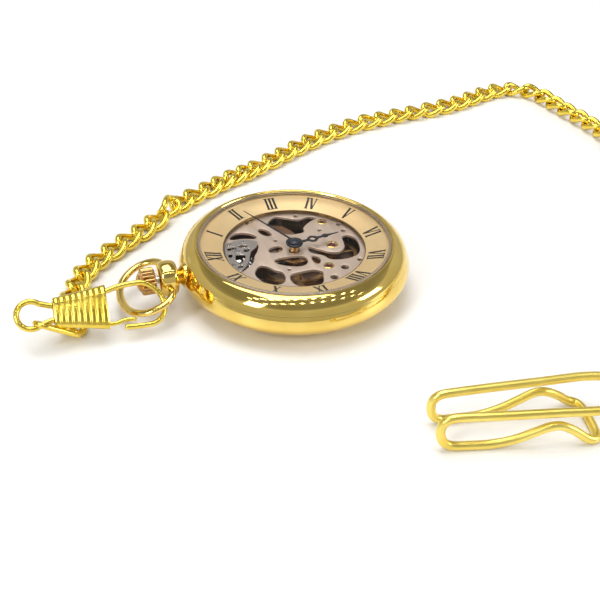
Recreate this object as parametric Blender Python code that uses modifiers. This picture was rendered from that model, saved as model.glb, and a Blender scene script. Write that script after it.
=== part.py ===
"""Open-face skeleton pocket watch on a curb chain, with its snap clasp and belt clip.

Shapes are written in millimetres and scaled to metres as each object is made.
+Z is up, +Y points from the hands to 12 o'clock and the pendant, +X to 3 o'clock.
The origin is under the hands, on the plane that the case back rests on.
"""

import math

import bmesh
import bpy
from mathutils import Matrix, Vector

MM = 0.001
GAP = 0.05

# Case
CASE_RADIUS = 23.4
CASE_WIDEST_Z = 5.8
CASE_BORE = 19.35
BEZEL_SEAM_Z = 8.0
BACK_SEAM_Z = 2.5
CRYSTAL_RADIUS = 19.45
CRYSTAL_TOP_Z = 12.2
REAR_GLASS_RADIUS = 15.2
TUBE_HOLE_RADIUS = 1.5
RING_STEPS = 36

# Dial and plate levels
DIAL_INNER_RADIUS = 14.5
DIAL_OUTER_RADIUS = 19.2
DIAL_EDGE_Z = 9.3
DIAL_RISE = 0.95
DIAL_SEAT_RADIUS = 18.55
DIAL_THICKNESS = 0.4
PLATE_RADIUS = 16.75
PLATE_Z = (7.7, 8.3)
BRIDGE_Z = (3.9, 4.35)

# Axes of the wheels, seen from the dial
CENTRE = (0.0, 0.0)
BARREL = (7.3, 4.3)
THIRD = (-7.2, -4.9)
FOURTH = (0.0, -8.1)
ESCAPE = (4.5, -12.1)
PALLET = (6.93, -10.42)
BALANCE = (9.0, -9.0)
MINUTE_WHEEL = (1.5, 4.0)
SETTING_WHEEL = (0.9, 8.05)
CROWN_WHEEL = (0.0, 6.6)
CLICK = (6.84, 9.58)

# Tooth counts
BARREL_TEETH = 60
CENTRE_PINION_TEETH = 10
CENTRE_TEETH = 64
THIRD_PINION_TEETH = 8
THIRD_TEETH = 60
FOURTH_PINION_TEETH = 8
FOURTH_TEETH = 60
ESCAPE_PINION_TEETH = 6
ESCAPE_TEETH = 15
CANNON_TEETH = 12
MINUTE_TEETH = 36
MINUTE_PINION_TEETH = 10
HOUR_TEETH = 40
RATCHET_TEETH = 40
CROWN_WHEEL_TEETH = 30

# Pendant, crown and bow, on a line along +Y
STEM_Z = 6.5
STEM_RADIUS = 0.7
COLLAR_Y = (24.4, 28.1)
COLLAR_RADIUS = 3.6
CROWN_Y = (28.8, 31.6)
CROWN_RADIUS = 2.7
BOW_Y = 26.5
BOW_TILT = math.radians(20.0)
BOW_WIRE_RADIUS = 0.65

# Hands
HOUR_HAND_ANGLE = math.radians(170.65)
HOUR_HAND_LENGTH = 10.15
MINUTE_HAND_ANGLE = math.radians(65.0)
MINUTE_HAND_LENGTH = 15.8

# Clasp: a flat spring clip that leans on the chain under it
CLASP_ORIGIN = (-5.83, 53.44, 7.02)
CLASP_TURN = (math.radians(43.0), math.radians(4.0), math.radians(-90.0))
CLASP_WIRE_RADIUS = 0.52

# Chain and belt clip
CHAIN_RADIUS = 1.2
CHAIN_Z = 1.25
CLIP_WIRE_RADIUS = 0.8
CLIP_ORIGIN = (-51.6, -8.9)
CLIP_HEADING = (-0.16, -0.987)
CLIP_TOP_Z = 7.0

CHAIN_ROUTE = (
    (-3.5, 45.5), (4.0, 45.0), (10.3, 42.8), (14.6, 40.4), (18.2, 37.0),
    (21.5, 33.1), (24.6, 29.1), (27.8, 25.1), (31.2, 21.4), (34.8, 17.6), (37.8, 13.2),
    (40.2, 9.2), (42.0, 6.0), (44.2, 1.8), (46.8, -3.9), (50.2, -9.9), (53.9, -16.2),
    (57.5, -22.7), (60.4, -29.1), (62.6, -35.3), (64.1, -41.4), (65.1, -47.4), (65.9, -53.4),
    (66.4, -59.4), (67.6, -66.0), (69.9, -73.0), (72.3, -80.0), (72.4, -86.2), (69.6, -90.6),
    (64.8, -92.8), (59.6, -93.9), (54.3, -95.0), (48.6, -96.3), (42.3, -97.2), (31.0, -98.2),
    (20.0, -97.4), (9.0, -94.4), (-3.0, -89.2), (-14.0, -82.8), (-25.0, -76.0), (-35.0, -68.8),
    (-44.0, -62.4), (-51.0, -58.6), (-56.0, -56.0), (-58.5, -52.7),
)


def start_empty():
    """Removes every object, and returns the parts collection and the cutters collection."""
    for obj in list(bpy.data.objects):
        bpy.data.objects.remove(obj, do_unlink=True)
    parts = bpy.data.collections.new("pocket_watch")
    cutters = bpy.data.collections.new("cutters")
    cutters.hide_render = True
    for collection in (parts, cutters):
        bpy.context.scene.collection.children.link(collection)
    return parts, cutters


PARTS, CUTTERS = start_empty()


def material(name, colour, roughness, metallic):
    made = bpy.data.materials.new(name)
    made.use_nodes = True
    shader = made.node_tree.nodes["Principled BSDF"]
    shader.inputs["Base Color"].default_value = (*colour, 1.0)
    shader.inputs["Roughness"].default_value = roughness
    shader.inputs["Metallic"].default_value = metallic
    return made


GOLD = material("polished_gold_plate", (0.95, 0.68, 0.22), 0.12, 1.0)
DIAL_GOLD = material("satin_gold_dial", (0.88, 0.68, 0.36), 0.35, 1.0)
ROSE = material("rose_plate", (0.78, 0.62, 0.52), 0.4, 0.7)
BRASS = material("wheel_brass", (0.8, 0.6, 0.28), 0.3, 1.0)
STEEL = material("polished_steel", (0.6, 0.6, 0.62), 0.25, 1.0)
DARK_STEEL = material("dark_spring_steel", (0.16, 0.17, 0.2), 0.35, 1.0)
BLACK = material("black_hand", (0.02, 0.02, 0.03), 0.3, 0.3)
GLASS = material("mineral_glass", (0.95, 0.95, 0.95), 0.02, 0.0)
RUBY = material("ruby_jewel", (0.5, 0.03, 0.12), 0.1, 0.0)


def place(name, data, finish, location, rotation=(0.0, 0.0, 0.0), parent=None):
    """Makes the object in the parts collection, with its origin at location in millimetres."""
    obj = bpy.data.objects.new(name, data)
    PARTS.objects.link(obj)
    obj.data.materials.append(finish)
    obj.location = Vector(location) * MM
    obj.rotation_euler = rotation
    obj.parent = parent
    return obj


def shade_round(mesh, angle=35.0):
    mesh.shade_smooth()
    mesh.set_sharp_from_angle(angle=math.radians(angle))


def turned(name, profile, finish, location=(0.0, 0.0, 0.0), rotation=(0.0, 0.0, 0.0), steps=RING_STEPS):
    """Turns (radius, height) points about Z. A profile that misses the axis is a closed loop."""
    mesh = bpy.data.meshes.new(name)
    points = [(radius * MM, 0.0, height * MM) for radius, height in profile]
    edges = [(i, i + 1) for i in range(len(points) - 1)]
    if profile[0][0] > 0.0:
        edges.append((len(points) - 1, 0))
    mesh.from_pydata(points, edges, [])
    obj = place(name, mesh, finish, location, rotation)
    screw = obj.modifiers.new("Turn", "SCREW")
    screw.axis = "Z"
    screw.steps = steps
    screw.render_steps = steps
    screw.use_merge_vertices = True
    screw.merge_threshold = 0.000001
    screw.use_smooth_shade = True
    return obj


def curve_of(name, loops, cyclic, kind):
    curve = bpy.data.curves.new(name, "CURVE")
    curve.dimensions = kind
    for loop in loops:
        spline = curve.splines.new("POLY")
        spline.points.add(len(loop) - 1)
        for point, where in zip(spline.points, loop):
            place_at = (*where, 0.0)[:3]
            point.co = (*[value * MM for value in place_at], 1.0)
        spline.use_cyclic_u = cyclic
    return curve


def flat(name, loops, levels, finish, centre=(0.0, 0.0), parent=None):
    """A flat piece: the first loop is its outline and the others are its openings."""
    curve = curve_of(name, loops, True, "2D")
    curve.fill_mode = "BOTH"
    curve.extrude = (levels[1] - levels[0]) / 2 * MM
    return place(name, curve, finish, (*centre, sum(levels) / 2), parent=parent)


def wire(name, points, radius, finish, cyclic=False, parent=None):
    """A round wire along (x, y, z) points."""
    curve = curve_of(name, [points], cyclic, "3D")
    curve.fill_mode = "FULL"
    curve.bevel_depth = radius * MM
    curve.bevel_resolution = 2
    curve.use_fill_caps = not cyclic
    return place(name, curve, finish, (0.0, 0.0, 0.0), parent=parent)


def as_mesh(obj):
    """Replaces a curve object by a mesh object of the same name and place, with its caps welded."""
    bpy.context.view_layer.update()
    graph = bpy.context.evaluated_depsgraph_get()
    mesh = bpy.data.meshes.new_from_object(obj.evaluated_get(graph))
    work = bmesh.new()
    work.from_mesh(mesh)
    bmesh.ops.remove_doubles(work, verts=work.verts, dist=0.0000005)
    bmesh.ops.recalc_face_normals(work, faces=work.faces)
    work.to_mesh(mesh)
    work.free()
    name = obj.name
    matrix = obj.matrix_world.copy()
    parent = obj.parent
    old = obj.data
    bpy.data.objects.remove(obj, do_unlink=True)
    bpy.data.curves.remove(old)
    made = bpy.data.objects.new(name, mesh)
    PARTS.objects.link(made)
    made.matrix_world = matrix
    if parent:
        made.parent = parent
        made.matrix_parent_inverse = parent.matrix_world.inverted()
    return made


def cylinder(name, radius, levels, centre=(0.0, 0.0), segments=12, rotation=(0.0, 0.0, 0.0)):
    """A helper cylinder along its own Z between two heights, or along another axis when rotated."""
    mesh = bpy.data.meshes.new(name)
    work = bmesh.new()
    depth = (levels[1] - levels[0]) * MM
    lift = Matrix.Translation((0.0, 0.0, sum(levels) / 2 * MM))
    bmesh.ops.create_cone(
        work, cap_ends=True, segments=segments, radius1=radius * MM, radius2=radius * MM,
        depth=depth, matrix=lift,
    )
    work.to_mesh(mesh)
    work.free()
    obj = bpy.data.objects.new(name, mesh)
    CUTTERS.objects.link(obj)
    obj.location = Vector((*centre, 0.0)[:3]) * MM
    obj.rotation_euler = rotation
    return obj


def as_helper(obj):
    """Moves an object to the cutters, where only a Boolean uses it."""
    PARTS.objects.unlink(obj)
    CUTTERS.objects.link(obj)
    return obj


def boolean(target, helper, operation):
    helper.hide_render = True
    helper.display_type = "WIRE"
    step = target.modifiers.new(operation.title(), "BOOLEAN")
    step.operation = operation
    step.solver = "EXACT"
    step.object = helper
    return target


def circle(radius, count=24, centre=(0.0, 0.0), start=0.0):
    turn = 2 * math.pi / count
    return [
        (centre[0] + radius * math.cos(start + i * turn), centre[1] + radius * math.sin(start + i * turn))
        for i in range(count)
    ]


def smooth(points, per_span=3, closed=True):
    """Points on a Catmull-Rom curve through the given points."""
    count = len(points)
    spans = count if closed else count - 1
    made = []
    for i in range(spans):
        if closed:
            around = [Vector(points[(i + k) % count]) for k in (-1, 0, 1, 2)]
        else:
            around = [Vector(points[min(max(i + k, 0), count - 1)]) for k in (-1, 0, 1, 2)]
        before, here, after, beyond = around
        for step in range(per_span):
            t = step / per_span
            made.append(
                tuple(
                    0.5
                    * (
                        2 * here
                        + (after - before) * t
                        + (2 * before - 5 * here + 4 * after - beyond) * t * t
                        + (3 * here - before - 3 * after + beyond) * t**3
                    )
                )
            )
    if not closed:
        made.append(tuple(points[-1]))
    return made


def gear(teeth, radius, phase=0.0):
    """A pointed-tooth outline: a tip at phase, then a root half a tooth later."""
    module = 2 * radius / teeth
    tip = radius + 0.35 * module
    root = radius - 0.5 * module
    points = []
    for i in range(2 * teeth):
        angle = phase + math.pi * i / teeth
        reach = tip if i % 2 == 0 else root
        points.append((reach * math.cos(angle), reach * math.sin(angle)))
    return points


def meshed_phase(driver_phase, driver_teeth, driver_centre, centre, teeth):
    """The phase that sets this gear's teeth in the driver's spaces, at rest."""
    towards = math.atan2(centre[1] - driver_centre[1], centre[0] - driver_centre[0])
    part = ((towards - driver_phase) / (2 * math.pi / driver_teeth)) % 1.0
    return towards + math.pi - (0.5 - part) * 2 * math.pi / teeth


def pitch_radii(first_teeth, second_teeth, first_centre, second_centre):
    distance = math.dist(first_centre, second_centre)
    share = distance / (first_teeth + second_teeth)
    return first_teeth * share, second_teeth * share


def spoke_openings(count, inner, outer, half_spoke):
    """Openings between the spokes of a wheel."""
    loops = []
    for i in range(count):
        middle = 2 * math.pi * (i + 0.5) / count
        half = math.pi / count
        wide = half - half_spoke / outer
        narrow = half - half_spoke / inner
        loop = [
            (outer * math.cos(middle + wide * k), outer * math.sin(middle + wide * k))
            for k in (-1.0, -0.5, 0.0, 0.5, 1.0)
        ]
        loop += [
            (inner * math.cos(middle + narrow * k), inner * math.sin(middle + narrow * k))
            for k in (1.0, 0.0, -1.0)
        ]
        loops.append(loop)
    return loops


def arbored_wheel(name, centre, teeth, radius, levels, arbor, pinion):
    """A spoked wheel joined to its arbor (radius, levels) and its pinion (teeth, radius, phase, levels)."""
    loops = [gear(teeth, radius)] + spoke_openings(4, 1.1, radius * 0.84, 0.3)
    wheel = as_mesh(flat(name, loops, levels, BRASS, centre))
    boolean(wheel, cylinder(name + "_arbor", arbor[0], arbor[1:], centre), "UNION")
    leaves, pinion_radius, pinion_phase, pinion_levels = pinion
    outline = [gear(leaves, pinion_radius, pinion_phase)]
    helper = as_mesh(flat(name + "_pinion", outline, pinion_levels, STEEL, centre))
    boolean(wheel, as_helper(helper), "UNION")


def bezel_outer():
    """Outer points of the front of the case, from the crystal down to the seam."""
    return [(19.75, 11.0), (20.5, 10.85), (21.5, 10.15), (22.35, 9.2), (22.85, BEZEL_SEAM_Z + GAP)]


def band_outer():
    return [
        (22.88, BEZEL_SEAM_Z - GAP), (23.27, 6.9), (CASE_RADIUS, CASE_WIDEST_Z), (23.1, 4.7),
        (22.3, 3.6), (21.0, BACK_SEAM_Z + 0.1),
    ]


def back_outer():
    return [(20.9, BACK_SEAM_Z), (19.4, 1.5), (18.1, 0.65), (17.2, 0.12), (16.5, 0.0)]


def along_y():
    """Location and rotation that stand an object's Z along +Y at the stem's height."""
    return (0.0, 0.0, STEM_Z), (-math.pi / 2, 0.0, 0.0)


def stem_cutter(name):
    """Cuts the hole through which the pendant's tube and the stem enter the case."""
    at, turn = along_y()
    return cylinder(name, TUBE_HOLE_RADIUS, (15.0, 26.0), at, 16, turn)


def build_case():
    inner = [(CASE_BORE, BEZEL_SEAM_Z + GAP), (CASE_BORE, 10.3), (CRYSTAL_RADIUS + 0.1, 10.35)]
    turned("bezel", bezel_outer() + inner, GOLD)
    inner = [(CASE_BORE, BACK_SEAM_Z + 0.1), (CASE_BORE, BEZEL_SEAM_Z - GAP)]
    band = turned("case_band", band_outer() + inner, GOLD)
    boolean(band, stem_cutter("tube_hole"), "DIFFERENCE")
    seat = REAR_GLASS_RADIUS + 2 * GAP
    inner = [(seat, 0.0), (seat, 1.15), (14.2, 1.15), (14.2, 1.7), (19.2, BACK_SEAM_Z)]
    turned("case_back", back_outer() + inner, GOLD)
    rear_glass = [(0.0, 1.1), (REAR_GLASS_RADIUS, 1.1), (REAR_GLASS_RADIUS, 0.0), (0.0, 0.0)]
    turned("rear_crystal", rear_glass, GLASS)


def dome(radius, rim_z, top_z, count):
    """Points from the top of a shallow dome down to its rim."""
    points = []
    for i in range(count + 1):
        r = radius * i / count
        points.append((r, top_z - (top_z - rim_z) * (r / radius) ** 2.4))
    return points


def build_crystal():
    outer = dome(CRYSTAL_RADIUS - 0.1, 10.95, CRYSTAL_TOP_Z, 5)
    inner = dome(18.7, 10.5, 11.3, 3)
    turned("crystal", outer + [(CRYSTAL_RADIUS - 0.05, 10.4), (18.9, 10.4)] + inner[::-1], GLASS)


def build_dial():
    top = DIAL_EDGE_Z + DIAL_RISE
    reach = DIAL_OUTER_RADIUS
    profile = [(DIAL_INNER_RADIUS, DIAL_EDGE_Z), (DIAL_SEAT_RADIUS, top), (reach, top)]
    low = [(reach, top), (DIAL_SEAT_RADIUS, top), (DIAL_INNER_RADIUS, DIAL_EDGE_Z)]
    profile += [(radius, height - DIAL_THICKNESS) for radius, height in low]
    turned("dial_ring", profile, DIAL_GOLD)
    bore = PLATE_RADIUS + 0.2
    profile = [(reach, 8.8), (reach, 2.6), (bore, 2.6), (bore, 8.35), (14.6, 8.4), (14.6, 8.8)]
    ring = turned("movement_ring", profile, DIAL_GOLD)
    boolean(ring, stem_cutter("stem_slot"), "DIFFERENCE")


def plate_openings():
    """The rounded openings of the skeleton plate, each through a few points."""
    shapes = (
        ((11.6, 2.2), (13.8, 0.0), (12.6, -2.4), (11.4, -4.5), (11.9, -6.8), (10.9, -8.3), (9.7, -6.4),
         (7.9, -4.5), (6.2, -4.0), (6.0, -1.2), (7.2, 0.6), (9.6, 1.4)),
        ((9.7, 9.6), (9.0, 7.2), (7.3, 5.9), (6.5, 6.6), (7.1, 8.6), (7.4, 11.2), (8.6, 11.2)),
        ((5.2, 13.2), (5.9, 10.5), (5.4, 7.6), (4.0, 6.5), (1.8, 7.3), (0.2, 8.3), (-1.6, 9.0),
         (-3.4, 10.6), (-4.6, 12.6), (-2.6, 13.7), (1.5, 13.9)),
        ((9.7, 4.9), (9.9, 3.9), (8.6, 2.9), (7.0, 2.7), (6.8, 3.8), (8.2, 4.8)),
        ((2.2, -11.0), (2.6, -12.4), (0.8, -13.6), (-2.6, -13.2), (-5.0, -11.8), (-5.8, -9.0),
         (-5.2, -6.2), (-3.2, -4.9), (-1.7, -3.0), (0.4, -3.1), (-0.8, -4.9), (-2.2, -6.4),
         (-3.0, -8.4), (-1.8, -10.1), (0.3, -10.7)),
        ((-3.6, 8.6), (-3.9, 7.1), (-5.6, 6.0), (-6.8, 4.7), (-8.8, 4.6), (-10.6, 5.6),
         (-10.6, 7.6), (-8.8, 9.4), (-6.0, 10.0)),
        ((-8.0, 3.0), (-7.7, 0.6), (-7.7, -1.6), (-8.8, -3.0), (-10.6, -2.6), (-12.6, -1.8),
         (-13.3, 0.4), (-12.7, 2.6), (-11.0, 3.8), (-9.2, 3.8)),
        ((-2.2, 4.8), (-1.8, 2.8), (-1.9, 0.6), (-2.4, -1.1), (-4.2, -1.5), (-5.6, -0.6),
         (-5.8, 1.2), (-4.8, 3.4), (-3.6, 4.8)),
        ((-3.0, -2.7), (-2.9, -3.4), (-4.2, -4.1), (-5.7, -3.6), (-5.9, -2.7), (-4.4, -2.4)),
        ((1.6, 5.0), (2.5, 3.6), (2.4, 2.2), (1.1, 2.1), (0.2, 3.2), (0.5, 4.8)),
    )
    return [smooth(shape, 1) for shape in shapes]


def plate_holes():
    """Round holes of the skeleton plate as x, y and radius."""
    return (
        (0.0, 0.0, 1.1), (*FOURTH, 0.8), (*THIRD, 0.75), (*BALANCE, 0.65), (*ESCAPE, 0.5),
        (12.9, -4.4, 0.45), (7.1, -12.0, 0.5), (6.0, -7.4, 0.45), (4.6, 2.6, 0.4),
        (-6.4, 3.1, 0.4), (-8.6, -7.8, 0.8), (-11.4, -4.6, 0.8), (-6.9, -11.6, 0.5),
        (12.9, 6.4, 0.5),
    )


def build_plate():
    holes = [circle(radius, 8, (x, y)) for x, y, radius in plate_holes()]
    flat("main_plate", [circle(PLATE_RADIUS, 36)] + plate_openings() + holes, PLATE_Z, ROSE)
    for name, centre, radius in (
        ("third_wheel_jewel", THIRD, 0.62),
        ("fourth_wheel_jewel", FOURTH, 0.67),
        ("balance_jewel", BALANCE, 0.53),
    ):
        turned(
            name,
            [(radius, 8.25), (radius, 7.85), (0.22, 7.85), (0.22, 8.05)],
            RUBY, (*centre, 0.0), steps=12,
        )


def pillared(name, outline, holes, pillars, finish=ROSE):
    """A bridge with pillars up to the underside of the main plate."""
    bridge = as_mesh(flat(name, [outline] + holes, BRIDGE_Z, finish))
    for i, spot in enumerate(pillars):
        post = cylinder(f"{name}_pillar_{i}", 0.8, (BRIDGE_Z[0] + 0.1, PLATE_Z[0] - GAP), spot)
        boolean(bridge, post, "UNION")
    return bridge


def arc(radius, start, end, count):
    """Points on a circle about the centre, between two angles in degrees."""
    return [
        (
            radius * math.cos(math.radians(start + (end - start) * i / count)),
            radius * math.sin(math.radians(start + (end - start) * i / count)),
        )
        for i in range(count + 1)
    ]


def build_bridges():
    outline = arc(16.2, -10, 150, 12) + [(-6.0, 3.4), (1.6, 2.0), (8.5, -1.2)]
    bridge = pillared(
        "barrel_bridge", outline, [circle(0.6, 10, BARREL)], [(-7.5, 13.2), (14.6, -1.2)]
    )
    stud = cylinder("crown_wheel_stud", 0.6, (BRIDGE_Z[0] + 0.1, 4.9), CROWN_WHEEL)
    boolean(bridge, stud, "UNION")
    outline = arc(16.2, 156, 288, 10) + [(5.9, -11.0), (3.0, -6.0), (2.2, 1.2), (-6.0, 2.6)]
    holes = [circle(0.45, 8, spot) for spot in (CENTRE, THIRD, FOURTH, ESCAPE)]
    pillared("train_bridge", outline, holes, [(-15.3, 1.8), (-10.2, -12.4)])
    tip = circle(1.8, 10, BALANCE, math.radians(60))[:8]
    outline = tip + arc(16.2, -38, -20, 3)
    pillared("balance_cock", outline, [circle(0.4, 8, BALANCE)], [(14.3, -7.2)])
    reach = Vector(PALLET)
    along = (Vector(BALANCE) - Vector(ESCAPE)).normalized()
    side = Vector((along.y, -along.x))
    corners = [(-0.5, -1.0), (0.5, -1.0), (0.5, 4.1), (-0.5, 4.1)]
    outline = [tuple(reach + along * a + side * b) for a, b in corners]
    bar = as_mesh(flat("pallet_bridge", [outline, circle(0.25, 8, PALLET)], (5.15, 5.33), ROSE))
    foot = tuple(reach + side * 3.6)
    boolean(bar, cylinder("pallet_bridge_foot", 0.4, (5.2, PLATE_Z[0] - GAP), foot), "UNION")


def build_train():
    """The barrel and the going train, phased so that every pair is in mesh."""
    barrel_radius, centre_pinion = pitch_radii(BARREL_TEETH, CENTRE_PINION_TEETH, BARREL, CENTRE)
    barrel_phase = 0.0
    shell = [(6.75, 6.8), (6.75, 5.35), (6.45, 5.35), (6.45, 6.55), (0.6, 6.55), (0.6, 6.8)]
    drum = turned("barrel_drum", shell, BRASS, (*BARREL, 0.0), steps=32)
    loops = [gear(BARREL_TEETH, barrel_radius, barrel_phase), circle(6.6, 32)]
    teeth = as_mesh(flat("barrel_teeth", loops, (6.3, 6.65), BRASS, BARREL))
    boolean(drum, as_helper(teeth), "UNION")
    cover = [(6.36, 5.62), (6.36, 5.42), (0.6, 5.42), (0.6, 5.62)]
    turned("barrel_cover", cover, BRASS, (*BARREL, 0.0), steps=24)
    core = [(0.0, 7.6), (0.5, 7.6), (0.5, 6.45), (1.1, 6.45), (1.1, 5.72), (0.5, 5.72)]
    turned("barrel_arbor", core + [(0.5, 3.6), (0.0, 3.6)], STEEL, (*BARREL, 0.0), steps=16)
    flat("mainspring", [ribbon(1.3, 6.2, 4.0, 0.12, 14)], (5.75, 6.45), DARK_STEEL, BARREL)

    centre_radius, third_pinion = pitch_radii(CENTRE_TEETH, THIRD_PINION_TEETH, CENTRE, THIRD)
    pinion_phase = meshed_phase(barrel_phase, BARREL_TEETH, BARREL, CENTRE, CENTRE_PINION_TEETH)
    arbored_wheel(
        "center_wheel", CENTRE, CENTRE_TEETH, centre_radius, (5.0, 5.2), (0.3, 4.0, 10.55),
        (CENTRE_PINION_TEETH, centre_pinion, pinion_phase, (6.2, 6.75)),
    )
    third_radius, fourth_pinion = pitch_radii(THIRD_TEETH, FOURTH_PINION_TEETH, THIRD, FOURTH)
    pinion_phase = meshed_phase(0.0, CENTRE_TEETH, CENTRE, THIRD, THIRD_PINION_TEETH)
    arbored_wheel(
        "third_wheel", THIRD, THIRD_TEETH, third_radius, (5.45, 5.65), (0.18, 4.0, 8.0),
        (THIRD_PINION_TEETH, third_pinion, pinion_phase, (4.9, 5.3)),
    )
    fourth_radius, escape_pinion = pitch_radii(FOURTH_TEETH, ESCAPE_PINION_TEETH, FOURTH, ESCAPE)
    pinion_phase = meshed_phase(0.0, THIRD_TEETH, THIRD, FOURTH, FOURTH_PINION_TEETH)
    arbored_wheel(
        "fourth_wheel", FOURTH, FOURTH_TEETH, fourth_radius, (5.9, 6.1), (0.18, 4.0, 8.0),
        (FOURTH_PINION_TEETH, fourth_pinion, pinion_phase, (5.35, 5.75)),
    )
    pinion_phase = meshed_phase(0.0, FOURTH_TEETH, FOURTH, ESCAPE, ESCAPE_PINION_TEETH)
    wheel = as_mesh(flat("escape_wheel", escape_loops(), (5.4, 5.55), STEEL, ESCAPE))
    boolean(wheel, cylinder("escape_arbor", 0.15, (4.0, 7.65), ESCAPE, 8), "UNION")
    outline = [gear(ESCAPE_PINION_TEETH, escape_pinion, pinion_phase)]
    helper = as_mesh(flat("escape_pinion", outline, (5.8, 6.2), STEEL, ESCAPE))
    boolean(wheel, as_helper(helper), "UNION")


def ribbon(inner, outer, turns, half_width, per_turn):
    """Outline of a flat spiral strip: out along one edge and back along the other."""
    count = int(turns * per_turn)
    there, back = [], []
    for i in range(count + 1):
        angle = 2 * math.pi * i / per_turn
        radius = inner + (outer - inner) * i / count
        there.append(((radius + half_width) * math.cos(angle), (radius + half_width) * math.sin(angle)))
        back.append(((radius - half_width) * math.cos(angle), (radius - half_width) * math.sin(angle)))
    return there + back[::-1]


def escape_loops():
    """Escape wheel with raked pointed teeth and four spokes."""
    outline = []
    pitch = 2 * math.pi / ESCAPE_TEETH
    for i in range(ESCAPE_TEETH):
        for share, radius in ((0.0, 1.75), (0.55, 1.8), (0.8, 2.3)):
            angle = (i + share) * pitch
            outline.append((radius * math.cos(angle), radius * math.sin(angle)))
    return [outline] + spoke_openings(4, 0.6, 1.4, 0.14)


def build_escapement():
    along = Vector(BALANCE) - Vector(PALLET)
    turn = math.atan2(along.y, along.x)
    upper_side = [
        (1.5, 0.32), (1.25, 0.12), (0.3, 0.12), (-0.1, 0.45), (-0.8, 1.95), (-1.15, 1.8), (-0.55, 0.3),
    ]
    lower_side = [(x, -y) for x, y in upper_side]
    outline = [(-0.7, 0.0)] + upper_side[::-1] + [(1.2, 0.0)] + lower_side
    fork = as_mesh(flat("pallet_fork", [outline], (5.4, 5.55), STEEL, PALLET))
    fork.rotation_euler = (0.0, 0.0, turn)
    boolean(fork, cylinder("pallet_staff", 0.15, (4.9, 7.65), PALLET, 8), "UNION")

    loops = [circle(3.95, 40)] + spoke_openings(2, 0.9, 3.35, 0.35) + [circle(0.3, 8)]
    flat("balance_wheel", loops, (4.78, 5.06), BRASS, BALANCE)
    staff = [
        (0.0, 8.0), (0.16, 8.0), (0.16, 5.6), (0.8, 5.6), (0.8, 5.42), (0.25, 5.42), (0.25, 4.0), (0.0, 4.0),
    ]
    turned("balance_staff", staff, STEEL, (*BALANCE, 0.0), steps=12)
    flat("hairspring", [ribbon(0.55, 2.5, 4.5, 0.05, 12)], (4.5, 4.65), DARK_STEEL, BALANCE)


def build_motion_work():
    distance = math.dist(CENTRE, MINUTE_WHEEL)
    cannon = distance * CANNON_TEETH / (CANNON_TEETH + MINUTE_TEETH)
    hour = distance * HOUR_TEETH / (HOUR_TEETH + MINUTE_PINION_TEETH)
    loops = [gear(CANNON_TEETH, cannon), circle(0.36, 10)]
    blank = as_mesh(flat("cannon_pinion", loops, (6.95, 7.2), STEEL))
    pipe = turned("cannon_pipe", [(0.55, 10.7), (0.55, 7.1), (0.36, 7.1), (0.36, 10.7)], STEEL, steps=12)
    boolean(blank, as_helper(pipe), "UNION")

    phase = meshed_phase(0.0, CANNON_TEETH, CENTRE, MINUTE_WHEEL, MINUTE_TEETH)
    loops = [gear(MINUTE_TEETH, distance - cannon, phase)] + spoke_openings(3, 1.3, 2.6, 0.3)
    wheel = as_mesh(flat("minute_wheel", loops, (6.95, 7.2), BRASS, MINUTE_WHEEL))
    outline = [gear(MINUTE_PINION_TEETH, distance - hour)]
    helper = as_mesh(flat("minute_pinion", outline, (7.1, 7.5), STEEL, MINUTE_WHEEL))
    boolean(wheel, as_helper(helper), "UNION")

    phase = meshed_phase(0.0, MINUTE_PINION_TEETH, MINUTE_WHEEL, CENTRE, HOUR_TEETH)
    loops = [gear(HOUR_TEETH, hour, phase), circle(0.65, 12)] + spoke_openings(3, 1.4, 2.8, 0.3)
    wheel = as_mesh(flat("hour_wheel", loops, (7.3, 7.5), BRASS))
    pipe = turned("hour_pipe", [(0.95, 10.1), (0.95, 7.4), (0.65, 7.4), (0.65, 10.1)], BRASS, steps=12)
    boolean(wheel, as_helper(pipe), "UNION")


def hand_turn(angle):
    """Rotation that points an object's +X at an angle measured clockwise from 12 o'clock."""
    return (0.0, 0.0, math.pi / 2 - angle)


def hand_outline(hub_radius, hub_points, blade):
    """A hub circle that is open towards +X and runs on into a blade of (reach, half width) points."""
    hub = circle(hub_radius, hub_points)[1:]
    return hub + [(x, -y) for x, y in blade] + blade[::-1]


def build_hands():
    blade = [
        (2.4, 0.5), (4.0, 1.2), (5.6, 0.5), (6.4, 0.25), (7.0, 0.6), (7.6, 0.2), (HOUR_HAND_LENGTH, 0.06),
    ]
    opening = [(3.3, 0.0), (4.0, -0.6), (4.9, 0.0), (4.0, 0.6)]
    loops = [hand_outline(1.65, 20, blade), circle(1.0, 16), opening]
    hand = flat("hour_hand", loops, (9.85, 10.05), BLACK)
    hand.rotation_euler = hand_turn(HOUR_HAND_ANGLE)
    blade = [(6.0, 0.16), (MINUTE_HAND_LENGTH, 0.07)]
    loops = [hand_outline(1.3, 16, blade), circle(0.6, 12)]
    hand = flat("minute_hand", loops, (10.45, 10.6), BLACK)
    hand.rotation_euler = hand_turn(MINUTE_HAND_ANGLE)


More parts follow.
